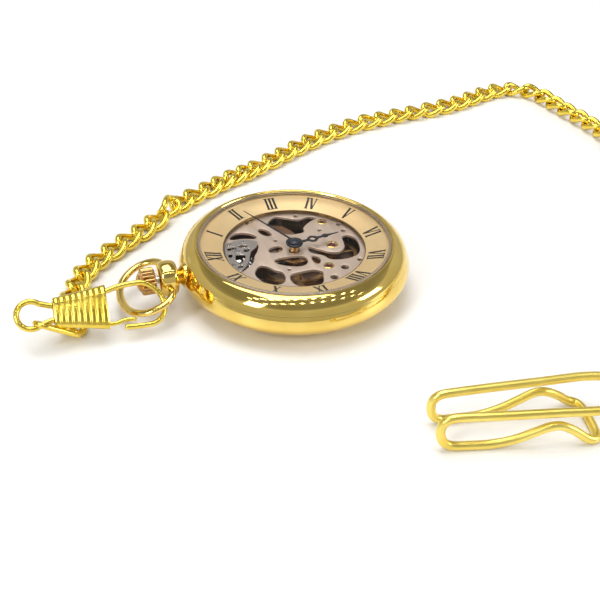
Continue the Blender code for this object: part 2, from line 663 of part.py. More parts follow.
def build_winding():
    """Crown, stem, sliding and winding pinions, crown wheel, ratchet and click."""
    at, turn = along_y()
    stem = [(0.0, 30.3), (STEM_RADIUS, 30.3), (STEM_RADIUS, 9.2), (0.0, 9.2)]
    turned("winding_stem", stem, STEEL, at, turn, 16)
    crown = on_stem("crown", [crown_outline()], CROWN_Y, GOLD)
    cap = [(0.0, 32.5), (0.9, 32.4), (1.7, 32.0), (2.1, 31.5), (0.0, 31.4)]
    boolean(crown, as_helper(turned("crown_cap", cap, GOLD, at, turn, 24)), "UNION")
    bore = cylinder("crown_bore", STEM_RADIUS + GAP, (28.0, 30.4), at, 16, turn)
    boolean(crown, bore, "DIFFERENCE")

    bore = circle(STEM_RADIUS + GAP, 12)
    on_stem("castle_wheel", [gear(16, 1.3), bore], (11.2, 12.8), STEEL)
    on_stem("winding_pinion", [gear(16, 1.5), bore], (9.5, 10.7), STEEL)

    crown_radius, ratchet_radius = pitch_radii(CROWN_WHEEL_TEETH, RATCHET_TEETH, CROWN_WHEEL, BARREL)
    levels = (4.45, 4.83)
    loops = [gear(CROWN_WHEEL_TEETH, crown_radius), circle(0.66, 12)]
    flat("crown_wheel", loops, levels, STEEL, CROWN_WHEEL)
    phase = meshed_phase(0.0, CROWN_WHEEL_TEETH, CROWN_WHEEL, BARREL, RATCHET_TEETH)
    loops = [gear(RATCHET_TEETH, ratchet_radius, phase), circle(0.56, 12)]
    flat("ratchet_wheel", loops, levels, STEEL, BARREL)
    pawl = [(0.6, 0.45), (-0.3, 0.6), (-1.6, -0.6), (-1.95, -1.45), (-0.9, -0.8), (0.5, -0.5)]
    flat("click", [pawl, circle(0.2, 8)], levels, STEEL, CLICK)
    spring = smooth([(5.4, 10.9), (7.4, 10.7), (9.6, 10.9), (11.6, 9.9)], 4, closed=False)
    wire("click_spring", [(x, y, 4.64) for x, y in spring], 0.12, DARK_STEEL)


def on_stem(name, loops, reach, finish):
    """A flat piece stood on the stem's line, between two distances from the watch's centre."""
    at, turn = along_y()
    obj = as_mesh(flat(name, loops, reach, finish))
    obj.data.transform(Matrix.Translation((0.0, 0.0, sum(reach) / 2 * MM)))
    obj.location = Vector(at) * MM
    obj.rotation_euler = turn
    return obj


def crown_outline():
    """Twenty rounded flutes."""
    points = []
    flutes = 20
    for i in range(flutes):
        for share, radius in ((0.0, CROWN_RADIUS), (0.45, CROWN_RADIUS), (0.72, CROWN_RADIUS - 0.35)):
            angle = 2 * math.pi * (i + share) / flutes
            points.append((radius * math.cos(angle), radius * math.sin(angle)))
    return points


def build_keyless():
    cover = smooth(
        [(6.2, 11.4), (6.4, 9.0), (5.0, 6.6), (3.2, 7.0), (1.6, 8.6), (-0.6, 9.6), (-3.0, 10.8),
         (-4.9, 12.9), (-2.8, 14.0), (2.4, 13.9), (5.0, 13.2)], 2
    )
    slots = [
        smooth([(0.6, 10.2), (1.2, 11.8), (-0.6, 12.4), (-2.2, 12.0), (-1.0, 10.8)], 2),
        smooth([(3.6, 8.8), (4.6, 9.4), (4.4, 10.6), (3.4, 10.2)], 2),
    ]
    flat("keyless_cover", [cover] + slots, (8.36, 8.6), STEEL)
    lever = [(-2.2, 9.9), (-1.8, 11.0), (-2.4, 12.9), (-3.4, 12.8), (-3.2, 11.2), (-2.9, 10.6)]
    flat("setting_lever", [lever], (7.9, 8.2), DARK_STEEL)
    yoke = [
        (2.0, 8.3), (3.0, 8.0), (4.6, 9.6), (4.2, 12.2), (2.0, 12.9), (1.7, 12.3), (3.3, 11.4), (3.3, 9.8),
    ]
    flat("yoke", [yoke], (7.9, 8.2), DARK_STEEL)
    distance = math.dist(MINUTE_WHEEL, SETTING_WHEEL)
    minute_radius = math.dist(CENTRE, MINUTE_WHEEL) * MINUTE_TEETH / (CANNON_TEETH + MINUTE_TEETH)
    phase = meshed_phase(0.0, CANNON_TEETH, CENTRE, MINUTE_WHEEL, MINUTE_TEETH)
    phase = meshed_phase(phase, MINUTE_TEETH, MINUTE_WHEEL, SETTING_WHEEL, 10)
    loops = [gear(10, distance - minute_radius, phase), circle(0.25, 8)]
    flat("setting_wheel", loops, (6.95, 7.2), STEEL, SETTING_WHEEL)


def build_pendant():
    at, turn = along_y()
    tube = [
        (1.7, 24.3), (1.45, 23.95), (1.9, 23.6), (2.5, 23.1), (2.6, 22.0), (1.4, 21.9), (1.4, 19.5),
        (STEM_RADIUS + 0.15, 19.5), (STEM_RADIUS + 0.15, 24.3),
    ]
    neck = turned("pendant_neck", tube, GOLD, at, turn, 20)
    around_case = [
        (1.0, 10.0), (22.3, 10.0), (23.35, 7.2), (CASE_RADIUS + 0.07, CASE_WIDEST_Z), (23.35, 4.6),
        (22.3, 2.0), (1.0, 2.0),
    ]
    cutter = as_helper(turned("case_envelope", around_case, GOLD))
    boolean(cutter, cylinder("tube_core", 1.42, (15.0, 24.0), at, 24, turn), "DIFFERENCE")
    boolean(neck, cutter, "DIFFERENCE")
    low, high = COLLAR_Y
    profile = [
        (2.6, high), (3.2, high - 0.3), (COLLAR_RADIUS - 0.1, high - 1.0), (COLLAR_RADIUS, (low + high) / 2),
        (COLLAR_RADIUS - 0.1, low + 1.0), (3.1, low + 0.3), (2.4, low), (0.9, low), (0.9, high),
    ]
    collar = turned("pendant_collar", profile, GOLD, at, turn, 20)
    for side in (-1, 1):
        hole = cylinder(
            f"bow_hole_{side}", BOW_WIRE_RADIUS + 0.15, (2.1, 5.0), (0.0, BOW_Y, STEM_Z), 12,
            (0.0, side * math.pi / 2, 0.0),
        )
        boolean(collar, hole, "DIFFERENCE")


def build_bow():
    pivot = bpy.data.objects.new("bow_pivot", None)
    PARTS.objects.link(pivot)
    pivot.location = Vector((0.0, BOW_Y, STEM_Z)) * MM
    pivot.rotation_euler = (-BOW_TILT, 0.0, 0.0)
    side = [
        (-2.4, 0.0), (-4.1, -0.1), (-5.7, 0.0), (-7.2, 1.2), (-8.0, 3.3), (-7.7, 5.7), (-6.1, 7.9),
        (-3.5, 9.3),
    ]
    whole = side + [(0.0, 9.8)] + [(-x, y) for x, y in side[::-1]]
    points = smooth(whole, 2, closed=False)
    wire("bow", [(x, y, 0.0) for x, y in points], BOW_WIRE_RADIUS, GOLD, parent=pivot)


def clasp_frame():
    """An empty with +X from the tail ring to the hook and +Y across the clasp."""
    frame = bpy.data.objects.new("clasp_frame", None)
    PARTS.objects.link(frame)
    frame.location = Vector(CLASP_ORIGIN) * MM
    frame.rotation_euler = CLASP_TURN
    return frame


def build_clasp():
    frame = clasp_frame()
    ring = arc(2.65, 52, 308, 16)
    tail = [(4.0, 1.45), (2.9, 1.7)] + ring + [(2.9, -1.7), (4.0, -1.45)]
    wire("clasp_tail_ring", [(x, y, 0.0) for x, y in tail], CLASP_WIRE_RADIUS, GOLD, parent=frame)
    hook = smooth(
        [(14.4, 3.1), (17.0, 3.85), (19.8, 4.15), (21.8, 4.05), (23.6, 2.9), (24.8, 1.3), (25.2, -0.6),
         (24.7, -2.6), (23.0, -4.0), (20.0, -4.25), (17.4, -4.2)], 2, closed=False
    )
    wire("clasp_hook", [(x, y, 0.0) for x, y in hook], CLASP_WIRE_RADIUS, GOLD, parent=frame)
    gate = smooth([(14.4, -3.3), (15.6, -3.3), (17.0, -2.9), (18.4, -2.78), (19.3, -2.9)], 2, closed=False)
    wire("clasp_gate", [(x, y, 0.0) for x, y in gate], 0.4, GOLD, parent=frame)
    build_sleeve(frame)
    build_end_link()


def build_sleeve(frame):
    """A flattened cone with nine raised ribs, lofted between rounded sections."""
    ribs = 9
    start, length = 4.2, 10.0
    sections = []
    for i in range(2 * ribs + 1):
        share = i / (2 * ribs)
        raised = 0.18 if i % 2 else 0.0
        half_height = 2.65 + 1.85 * share + raised
        half_depth = 1.15 + 0.35 * share + raised
        sections.append((start + length * share, half_height, half_depth))
    mesh = bpy.data.meshes.new("clasp_sleeve")
    work = bmesh.new()
    loops = []
    around = 12
    for x, half_height, half_depth in sections:
        loop = []
        for k in range(around):
            angle = 2 * math.pi * k / around
            c, s = math.cos(angle), math.sin(angle)
            y = half_height * math.copysign(abs(c) ** 0.6, c)
            z = half_depth * math.copysign(abs(s) ** 0.8, s)
            loop.append(work.verts.new((x * MM, y * MM, z * MM)))
        loops.append(loop)
    for first, second in zip(loops, loops[1:]):
        for k in range(around):
            work.faces.new((first[k], first[(k + 1) % around], second[(k + 1) % around], second[k]))
    work.faces.new(loops[0][::-1])
    work.faces.new(loops[-1])
    bmesh.ops.recalc_face_normals(work, faces=work.faces)
    work.to_mesh(mesh)
    work.free()
    shade_round(mesh, 50.0)
    place("clasp_sleeve", mesh, GOLD, (0.0, 0.0, 0.0), parent=frame)


def stadium(top, bottom, sideways, half_width, per_end=6):
    """A closed oval through 3D space, with its round ends at top and bottom."""
    top, bottom = Vector(top), Vector(bottom)
    axis = (top - bottom).normalized()
    sideways = Vector(sideways)
    sideways = (sideways - axis * sideways.dot(axis)).normalized()
    points = []
    for end, sign in ((top - axis * half_width, 1), (bottom + axis * half_width, -1)):
        for k in range(per_end + 1):
            angle = math.pi * k / per_end
            across = sideways * (sign * half_width * math.cos(angle))
            beyond = axis * (sign * half_width * math.sin(angle))
            points.append(tuple(end + across + beyond))
    return points


def build_end_link():
    """The oval link between the tail ring and the chain, leaning from the ring down to the table."""
    loop = stadium((-7.5, 52.8, 6.2), (-6.1, 45.3, 0.98), (-0.88, -0.37, 0.3), 1.75)
    wire("chain_end_link", loop, 0.44, GOLD, cyclic=True)


def build_chain():
    wire("chain", [(x, y, CHAIN_Z) for x, y in CHAIN_ROUTE], CHAIN_RADIUS, GOLD)


def clip_point(along, across, height):
    """A point of the belt clip: along it from the bent end, across it and up."""
    tx, ty = CLIP_HEADING
    x = CLIP_ORIGIN[0] + along * tx - across * ty
    y = CLIP_ORIGIN[1] + along * ty + across * tx
    return (x, y, height)


def build_belt_clip():
    low = CLIP_WIRE_RADIUS + 0.03
    top = CLIP_TOP_Z
    side = [
        (38.7, 0.9, 5.25), (37.8, 1.75, 5.6), (36.2, 2.6, 6.2), (33.6, 3.8, 6.8), (28.0, 4.6, top),
        (20.0, 4.2, top), (10.0, 3.7, top), (4.0, 3.3, top), (1.6, 3.2, top - 0.2),
        (0.3, 3.2, top - 1.2), (0.0, 3.25, 4.0), (0.6, 3.3, 2.0), (2.2, 3.4, 0.95),
        (5.0, 3.6, low), (9.0, 3.8, 0.85), (13.0, 4.1, 1.7),
        (16.2, 4.3, 3.1), (19.0, 4.5, 4.3), (21.2, 4.6, 4.2), (23.6, 4.9, 2.9), (25.6, 5.1, 1.4),
        (27.2, 4.9, low), (27.9, 3.6, low), (28.1, 1.6, low),
    ]
    loop = side + [(a, -b, c) for a, b, c in side[::-1]]
    eye = [(38.95, 0.0, 5.2)]
    points = [clip_point(*point) for point in loop + eye]
    wire("belt_clip", points, CLIP_WIRE_RADIUS, GOLD, cyclic=True)
    ring = [
        clip_point(40.6 + 3.4 * math.cos(a), 0.0, 3.9 + 3.4 * math.sin(a))
        for a in [2 * math.pi * k / 16 for k in range(16)]
    ]
    wire("clip_ring", ring, 0.42, GOLD, cyclic=True)


build_case()
build_crystal()
build_dial()
build_plate()
build_bridges()
build_train()
build_escapement()
build_motion_work()
build_hands()
build_winding()
build_keyless()
build_pendant()
build_bow()
build_clasp()
build_chain()
build_belt_clip()
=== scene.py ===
"""Looks of the gold skeleton pocket watch: case, dial, movement, bow, clasp, curb chain and belt clip.

Lengths are written in millimetres in the row frame and scaled to metres as each mesh is made.
"""

import math
import random

import bmesh
import bpy
from mathutils import Euler, Matrix, Vector


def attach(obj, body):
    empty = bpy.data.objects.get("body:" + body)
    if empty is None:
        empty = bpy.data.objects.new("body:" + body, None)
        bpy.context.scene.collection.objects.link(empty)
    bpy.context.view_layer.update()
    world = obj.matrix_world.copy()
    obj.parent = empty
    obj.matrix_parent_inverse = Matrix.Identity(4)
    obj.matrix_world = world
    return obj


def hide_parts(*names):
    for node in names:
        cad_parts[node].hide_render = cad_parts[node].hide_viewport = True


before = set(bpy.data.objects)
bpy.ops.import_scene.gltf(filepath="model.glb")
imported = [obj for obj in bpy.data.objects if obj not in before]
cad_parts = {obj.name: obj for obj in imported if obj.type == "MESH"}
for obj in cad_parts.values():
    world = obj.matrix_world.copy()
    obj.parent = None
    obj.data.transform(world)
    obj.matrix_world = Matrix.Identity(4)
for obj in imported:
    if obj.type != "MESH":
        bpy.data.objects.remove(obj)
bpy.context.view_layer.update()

MM = 0.001
SCENE = bpy.context.scene
RANDOM = random.Random(7)


# ---------------------------------------------------------------- camera and light

CAMERA_AT = (-178.49, 59.17, 128.35)
CAMERA_RIGHT = (-0.3086, -0.9510, 0.0194)
CAMERA_UP = (0.5524, -0.1626, 0.8176)
CAMERA_BACK = (-0.7743, 0.2630, 0.5755)


def make_camera():
    data = bpy.data.cameras.new("camera")
    data.lens = 66.0
    data.sensor_width = 36.0
    data.clip_start = 0.01
    camera = bpy.data.objects.new("camera", data)
    SCENE.collection.objects.link(camera)
    turn = Matrix((CAMERA_RIGHT, CAMERA_UP, CAMERA_BACK)).transposed().to_4x4()
    camera.matrix_world = Matrix.Translation(Vector(CAMERA_AT) * MM) @ turn
    SCENE.camera = camera


def aim(obj, where):
    """Puts obj at a place in millimetres, with its -Z towards the watch."""
    obj.location = Vector(where) * MM
    obj.rotation_mode = "QUATERNION"
    obj.rotation_quaternion = (-Vector(where)).to_track_quat("-Z", "Y")


def softbox(name, where, size, power, level=False):
    """A soft area light. It faces the watch, or straight down when level."""
    data = bpy.data.lights.new(name, "AREA")
    data.shape = "RECTANGLE"
    data.size = size[0] * MM
    data.size_y = size[1] * MM
    data.energy = power
    light = bpy.data.objects.new(name, data)
    SCENE.collection.objects.link(light)
    aim(light, where)
    if level:
        light.rotation_quaternion = (1.0, 0.0, 0.0, 0.0)


LAMPS_EACH_SIDE = 6
LAMP_CEILING = 750.0
LAMP_ROWS = ((-0.18, 1.0), (-0.5, 1.5))


def make_lamp_rows():
    """Two rows of small ceiling lamps along Y, further apart towards their ends."""
    for row, (across, spread) in enumerate(LAMP_ROWS):
        for number in range(-LAMPS_EACH_SIDE, LAMPS_EACH_SIDE + 1):
            along = 0.04 + spread * (0.09 * number + 0.0006 * number**3)
            where = (across * LAMP_CEILING, along * LAMP_CEILING, LAMP_CEILING)
            name = f"lamp_{row}_{number + LAMPS_EACH_SIDE}"
            softbox(name, where, (64, 20), 0.06, level=True)


def make_world():
    world = bpy.data.worlds.new("studio")
    SCENE.world = world
    world.use_nodes = True
    tree = world.node_tree
    background = tree.nodes["Background"]
    coords = tree.nodes.new("ShaderNodeTexCoord")
    split = tree.nodes.new("ShaderNodeSeparateXYZ")
    ramp = tree.nodes.new("ShaderNodeValToRGB")
    tree.links.new(coords.outputs["Generated"], split.inputs[0])
    tree.links.new(split.outputs["Z"], ramp.inputs["Fac"])
    tree.links.new(ramp.outputs["Color"], background.inputs["Color"])
    stops = ramp.color_ramp.elements
    stops[0].position = 0.0
    stops[0].color = (0.5, 0.5, 0.5, 1.0)
    stops[1].position = 1.0
    stops[1].color = (0.26, 0.26, 0.26, 1.0)
    for where, level in ((0.5, 0.6), (0.54, 0.36), (0.68, 0.25), (0.85, 0.26)):
        stop = stops.new(where)
        stop.color = (level, level, level, 1.0)
    background.inputs["Strength"].default_value = 1.0
    SCENE.view_settings.view_transform = "Standard"


def make_floor():
    mesh = bpy.data.meshes.new("table_top")
    reach = 3.0
    corners = [(-reach, -reach, 0.0), (reach, -reach, 0.0), (reach, reach, 0.0), (-reach, reach, 0.0)]
    mesh.from_pydata(corners, [], [(0, 1, 2, 3)])
    floor = bpy.data.objects.new("table_top", mesh)
    SCENE.collection.objects.link(floor)
    mesh.materials.append(simple("white_table", (0.93, 0.925, 0.92), 0.42, 0.0))


# ---------------------------------------------------------------- materials


def simple(name, colour, roughness, metallic):
    made = bpy.data.materials.new(name)
    made.use_nodes = True
    shader = made.node_tree.nodes["Principled BSDF"]
    shader.inputs["Base Color"].default_value = (*colour, 1.0)
    shader.inputs["Roughness"].default_value = roughness
    shader.inputs["Metallic"].default_value = metallic
    return made


class Nodes:
    """Small helper that wires procedural detail into a Principled material."""

    def __init__(self, made):
        self.tree = made.node_tree
        self.shader = self.tree.nodes["Principled BSDF"]
        self.coords = self.tree.nodes.new("ShaderNodeTexCoord")

    def link(self, start, end):
        self.tree.links.new(start, end)

    def noise(self, scale, detail=4.0, stretch=None, distortion=0.0):
        node = self.tree.nodes.new("ShaderNodeTexNoise")
        node.inputs["Scale"].default_value = scale
        node.inputs["Detail"].default_value = detail
        node.inputs["Distortion"].default_value = distortion
        source = self.coords.outputs["Object"]
        if stretch:
            mapping = self.tree.nodes.new("ShaderNodeMapping")
            mapping.inputs["Scale"].default_value = stretch
            self.link(source, mapping.inputs["Vector"])
            source = mapping.outputs["Vector"]
        self.link(source, node.inputs["Vector"])
        return node.outputs["Fac"]

    def ramp(self, source, low, high, first, last):
        node = self.tree.nodes.new("ShaderNodeMapRange")
        node.inputs["From Min"].default_value = low
        node.inputs["From Max"].default_value = high
        node.inputs["To Min"].default_value = first
        node.inputs["To Max"].default_value = last
        self.link(source, node.inputs["Value"])
        return node.outputs["Result"]

    def add(self, one, two):
        node = self.tree.nodes.new("ShaderNodeMath")
        node.operation = "ADD"
        node.use_clamp = True
        self.link(one, node.inputs[0])
        self.link(two, node.inputs[1])
        return node.outputs[0]

    def mix(self, factor, first, second):
        node = self.tree.nodes.new("ShaderNodeMix")
        node.data_type = "RGBA"
        self.link(factor, node.inputs["Factor"])
        for socket, value in ((6, first), (7, second)):
            if isinstance(value, tuple):
                node.inputs[socket].default_value = (*value, 1.0)
            else:
                self.link(value, node.inputs[socket])
        return node.outputs[2]

    def edges(self, low, high):
        geometry = self.tree.nodes.new("ShaderNodeNewGeometry")
        return self.ramp(geometry.outputs["Pointiness"], low, high, 0.0, 1.0)

    def bump(self, source, distance, strength=1.0):
        node = self.tree.nodes.new("ShaderNodeBump")
        node.inputs["Strength"].default_value = strength
        node.inputs["Distance"].default_value = distance
        self.link(source, node.inputs["Height"])
        self.link(node.outputs["Normal"], self.shader.inputs["Normal"])


HAZE = 0.06


def polished(name, colour, shade, roughness, scratch=0.5):
    """Polished metal with faint hairlines, handling haze and rubbed edges."""
    made = simple(name, colour, roughness, 1.0)
    nodes = Nodes(made)
    cloud = nodes.ramp(nodes.noise(160.0, 5.0), 0.35, 0.7, 0.0, 1.0)
    tint = nodes.mix(cloud, colour, shade)
    rubbed = nodes.edges(0.53, 0.6)
    lighter = tuple(min(1.0, value * 1.08 + 0.02) for value in colour)
    nodes.link(nodes.mix(rubbed, tint, lighter), nodes.shader.inputs["Base Color"])
    handled = nodes.noise(420.0, 6.0, (1.0, 0.35, 1.0), 0.6)
    smear = nodes.ramp(handled, 0.4, 0.75, roughness * 0.8, roughness + HAZE)
    hairs = nodes.ramp(nodes.noise(2600.0, 2.0, (1.0, 0.04, 0.2)), 0.6, 0.75, 0.0, 0.05 * scratch)
    nodes.link(nodes.add(smear, hairs), nodes.shader.inputs["Roughness"])
    nodes.bump(nodes.noise(2200.0, 3.0, (1.0, 0.08, 0.4)), 0.000004 * scratch, 0.5)
    return made


def brushed(name, colour, shade, roughness, stretch, metallic=1.0, scale=1500.0, depth=0.000012):
    """Satin metal brushed along the axis whose stretch is small."""
    made = simple(name, colour, roughness, metallic)
    nodes = Nodes(made)
    lines = nodes.noise(scale, 3.0, stretch)
    cloud = nodes.noise(90.0, 4.0)
    stain = nodes.ramp(cloud, 0.35, 0.7, 0.0, 1.0)
    nodes.link(nodes.mix(stain, colour, shade), nodes.shader.inputs["Base Color"])
    grain = nodes.ramp(lines, 0.3, 0.7, roughness * 0.75, roughness)
    worn = nodes.ramp(cloud, 0.4, 0.7, 0.0, 0.1)
    nodes.link(nodes.add(grain, worn), nodes.shader.inputs["Roughness"])
    nodes.bump(lines, depth, 0.6)
    return made


def glass(name, colour, alpha):
    """Clear glass with faint smears in its gloss."""
    made = simple(name, colour, 0.02, 0.0)
    made.surface_render_method = "BLENDED"
    nodes = Nodes(made)
    nodes.shader.inputs["Alpha"].default_value = alpha
    nodes.shader.inputs["IOR"].default_value = 1.5
    smears = nodes.ramp(nodes.noise(120.0, 5.0), 0.45, 0.75, 0.015, 0.07)
    nodes.link(smears, nodes.shader.inputs["Roughness"])
    return made


def enamel(name, colour, shade):
    """Hard glossy colour with a fine, slightly uneven surface."""
    made = simple(name, colour, 0.3, 0.2)
    nodes = Nodes(made)
    cloud = nodes.ramp(nodes.noise(700.0, 4.0), 0.4, 0.7, 0.0, 1.0)
    nodes.link(nodes.mix(cloud, colour, shade), nodes.shader.inputs["Base Color"])
    nodes.link(nodes.ramp(nodes.noise(1500.0, 3.0), 0.3, 0.7, 0.18, 0.4), nodes.shader.inputs["Roughness"])
    nodes.bump(nodes.noise(3000.0, 2.0), 0.000004, 0.5)
    return made


GOLD = polished("polished_gold", (0.88, 0.65, 0.18), (0.8, 0.56, 0.13), 0.07)
# The crown's gold is darker than the case's: painted shade, as the crown sits in shadow inside the bow.
CROWN_GOLD_PAINTED_SHADE = polished("crown_gold_painted_shade", (0.62, 0.36, 0.13), (0.42, 0.22, 0.07), 0.16)
WIRE_GOLD = polished("bright_gold_wire", (0.9, 0.7, 0.13), (0.74, 0.53, 0.07), 0.22, scratch=0.25)
SATIN_GOLD = polished("satin_clip_gold", (0.94, 0.76, 0.2), (0.84, 0.63, 0.12), 0.36, scratch=0.15)
CHAIN_GOLD = polished("chain_gold", (0.9, 0.69, 0.1), (0.72, 0.51, 0.05), 0.2, scratch=0.25)
DIAL = brushed(
    "satin_dial", (0.98, 0.73, 0.37), (0.92, 0.65, 0.32), 0.44, (0.3, 0.3, 1.0), 0.6, 1800.0, 0.000005
)
# Very dark gold for the dial's inner wall and the movement ring: painted shade for the shadow down the
# dial's opening and inside the case.
RIM_PAINTED_SHADE = brushed("dial_edge_gold_painted_shade", (0.3, 0.2, 0.08), (0.2, 0.13, 0.05), 0.35, (1.0, 1.0, 0.2))
ROSE = brushed("rose_plate", (0.82, 0.65, 0.52), (0.7, 0.54, 0.42), 0.42, (1.0, 0.06, 1.0), 0.55, 1300.0)
BRIDGE = brushed("rose_bridge", (0.5, 0.36, 0.27), (0.36, 0.24, 0.16), 0.4, (1.0, 0.08, 1.0), 0.85)
BRASS = brushed("wheel_brass", (0.66, 0.44, 0.2), (0.45, 0.28, 0.12), 0.34, (1.0, 0.2, 1.0))
COPPER = brushed("barrel_copper", (0.42, 0.25, 0.15), (0.3, 0.17, 0.1), 0.36, (0.06, 1.0, 1.0))
STEEL = polished("polished_steel", (0.62, 0.6, 0.6), (0.5, 0.49, 0.5), 0.2)
COVER = brushed("cover_steel", (0.74, 0.68, 0.62), (0.6, 0.54, 0.48), 0.3, (0.08, 1.0, 1.0))
DARK = polished("dark_steel", (0.12, 0.11, 0.12), (0.07, 0.06, 0.06), 0.28)
BLACK = enamel("black_lacquer", (0.022, 0.02, 0.022), (0.035, 0.03, 0.03))
BLUE_BLACK = enamel("blue_black_hub", (0.012, 0.017, 0.03), (0.03, 0.035, 0.05))
INK = enamel("numeral_ink", (0.012, 0.009, 0.007), (0.022, 0.017, 0.013))
CRYSTAL = glass("crystal_glass", (0.05, 0.05, 0.05), 0.06)
CRYSTAL_EDGE = glass("crystal_edge_glass", (0.34, 0.27, 0.2), 0.55)
RUBY = enamel("ruby", (0.16, 0.025, 0.03), (0.09, 0.01, 0.015))


# ---------------------------------------------------------------- mesh building


def add_object(name, mesh, finish, body, replaces=()):
    obj = bpy.data.objects.new(name, mesh)
    SCENE.collection.objects.link(obj)
    mesh.materials.clear()
    mesh.materials.append(finish)
    if replaces:
        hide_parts(*replaces)
    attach(obj, body)
    return obj


def shade(mesh, angle=40.0):
    mesh.shade_smooth()
    mesh.set_sharp_from_angle(angle=math.radians(angle))


def mesh_from(name, points, faces, angle=40.0):
    """A mesh from points in millimetres, its faces turned outwards."""
    mesh = bpy.data.meshes.new(name)
    mesh.from_pydata([tuple(Vector(p) * MM) for p in points], [], faces)
    work = bmesh.new()
    work.from_mesh(mesh)
    bmesh.ops.remove_doubles(work, verts=work.verts, dist=0.0000002)
    bmesh.ops.recalc_face_normals(work, faces=work.faces)
    work.to_mesh(mesh)
    work.free()
    shade(mesh, angle)
    return mesh


def smooth(points, per_span=4, closed=False):
    """Points on a Catmull-Rom curve through the given points."""
    count = len(points)
    made = []
    for i in range(count if closed else count - 1):
        picks = [(i + k) % count if closed else min(max(i + k, 0), count - 1) for k in (-1, 0, 1, 2)]
        before, here, after, beyond = [Vector(points[k]) for k in picks]
        for step in range(per_span):
            t = step / per_span
            made.append(
                0.5
                * (
                    2 * here
                    + (after - before) * t
                    + (2 * before - 5 * here + 4 * after - beyond) * t * t
                    + (3 * here - before - 3 * after + beyond) * t**3
                )
            )
    if not closed:
        made.append(Vector(points[-1]))
    return made


def lathe_mesh(name, profile, steps=144, place=None, angle=30.0):
    """Turns (radius, height) points about Z. The profile is a closed loop, or ends on the axis."""
    closed = profile[0][0] > 0.0 and profile[-1][0] > 0.0
    count = len(profile)
    points, faces = [], []
    for k in range(steps):
        angle_k = 2 * math.pi * k / steps
        for radius, height in profile:
            spot = Vector((radius * math.cos(angle_k), radius * math.sin(angle_k), height))
            points.append(place @ spot if place else spot)
    for k in range(steps):
        here, there = k * count, ((k + 1) % steps) * count
        for i in range(count if closed else count - 1):
            j = (i + 1) % count
            faces.append((here + i, there + i, there + j, here + j))
    return mesh_from(name, points, faces, angle)


def lathe_piece(name, profile, finish, body, replaces=(), steps=144, place=None, angle=30.0):
    mesh = lathe_mesh(name, profile, steps, place, angle)
    return add_object(name, mesh, finish, body, replaces)


def frames_along(points, cyclic):
    """(point, tangent, normal, binormal) along a path, with the least twist."""
    count = len(points)
    tangents = []
    for i in range(count):
        if cyclic:
            step = points[(i + 1) % count] - points[i - 1]
        else:
            step = points[min(i + 1, count - 1)] - points[max(i - 1, 0)]
        tangents.append(step.normalized())
    guess = Vector((0, 0, 1)) if abs(tangents[0].z) < 0.9 else Vector((1, 0, 0))
    normal = (guess - tangents[0] * guess.dot(tangents[0])).normalized()
    normals = [normal]
    for i in range(1, count):
        turn = tangents[i - 1].rotation_difference(tangents[i])
        normal = (turn @ normal).normalized()
        normals.append(normal)
    if cyclic:
        turn = tangents[-1].rotation_difference(tangents[0])
        last = turn @ normals[-1]
        twist = math.atan2(last.cross(normals[0]).dot(tangents[0]), last.dot(normals[0]))
        for i in range(count):
            normals[i] = Matrix.Rotation(twist * i / count, 3, tangents[i]) @ normals[i]
    return [(p, t, n, t.cross(n)) for p, t, n in zip(points, tangents, normals)]


def tube_geometry(points, radius, sides=12, cyclic=False, flatten=1.0, up=None):
    """Vertices and faces of a round or oval wire. A number or a function of the share gives its radius."""
    rings = frames_along(points, cyclic)
    verts, faces = [], []
    count = len(rings)
    for i, (point, tangent, normal, side) in enumerate(rings):
        if up is not None:
            normal = (up - tangent * up.dot(tangent)).normalized()
            side = tangent.cross(normal)
        share = i / max(count - 1, 1)
        r = radius(share) if callable(radius) else radius
        for k in range(sides):
            a = 2 * math.pi * k / sides
            verts.append(point + normal * (r * flatten * math.cos(a)) + side * (r * math.sin(a)))
    for i in range(count if cyclic else count - 1):
        here, there = i * sides, ((i + 1) % count) * sides
        for k in range(sides):
            j = (k + 1) % sides
            faces.append((here + k, here + j, there + j, there + k))
    if not cyclic:
        for first, sign in ((0, -1), ((count - 1) * sides, 1)):
            point, tangent = rings[0 if sign < 0 else -1][:2]
            r = radius(0.0 if sign < 0 else 1.0) if callable(radius) else radius
            start = len(verts)
            inner = []
            for k in range(sides):
                rim = verts[first + k]
                inner.append(point + (rim - point) * 0.62 + tangent * (sign * r * 0.45))
            verts += inner
            verts.append(point + tangent * (sign * r * 0.6))
            for k in range(sides):
                j = (k + 1) % sides
                faces.append((first + k, first + j, start + j, start + k))
                faces.append((start + k, start + j, start + sides))
    return verts, faces


def wire_piece(
    name, points, radius, replaced, finish, body="case", sides=14, cyclic=False, flatten=1.0, up=None
):
    """A bent gold wire that takes the place of one CAD node."""
    verts, faces = tube_geometry(points, radius, sides, cyclic, flatten, up)
    return add_object(name, mesh_from(name, verts, faces, 60.0), finish, body, (replaced,))


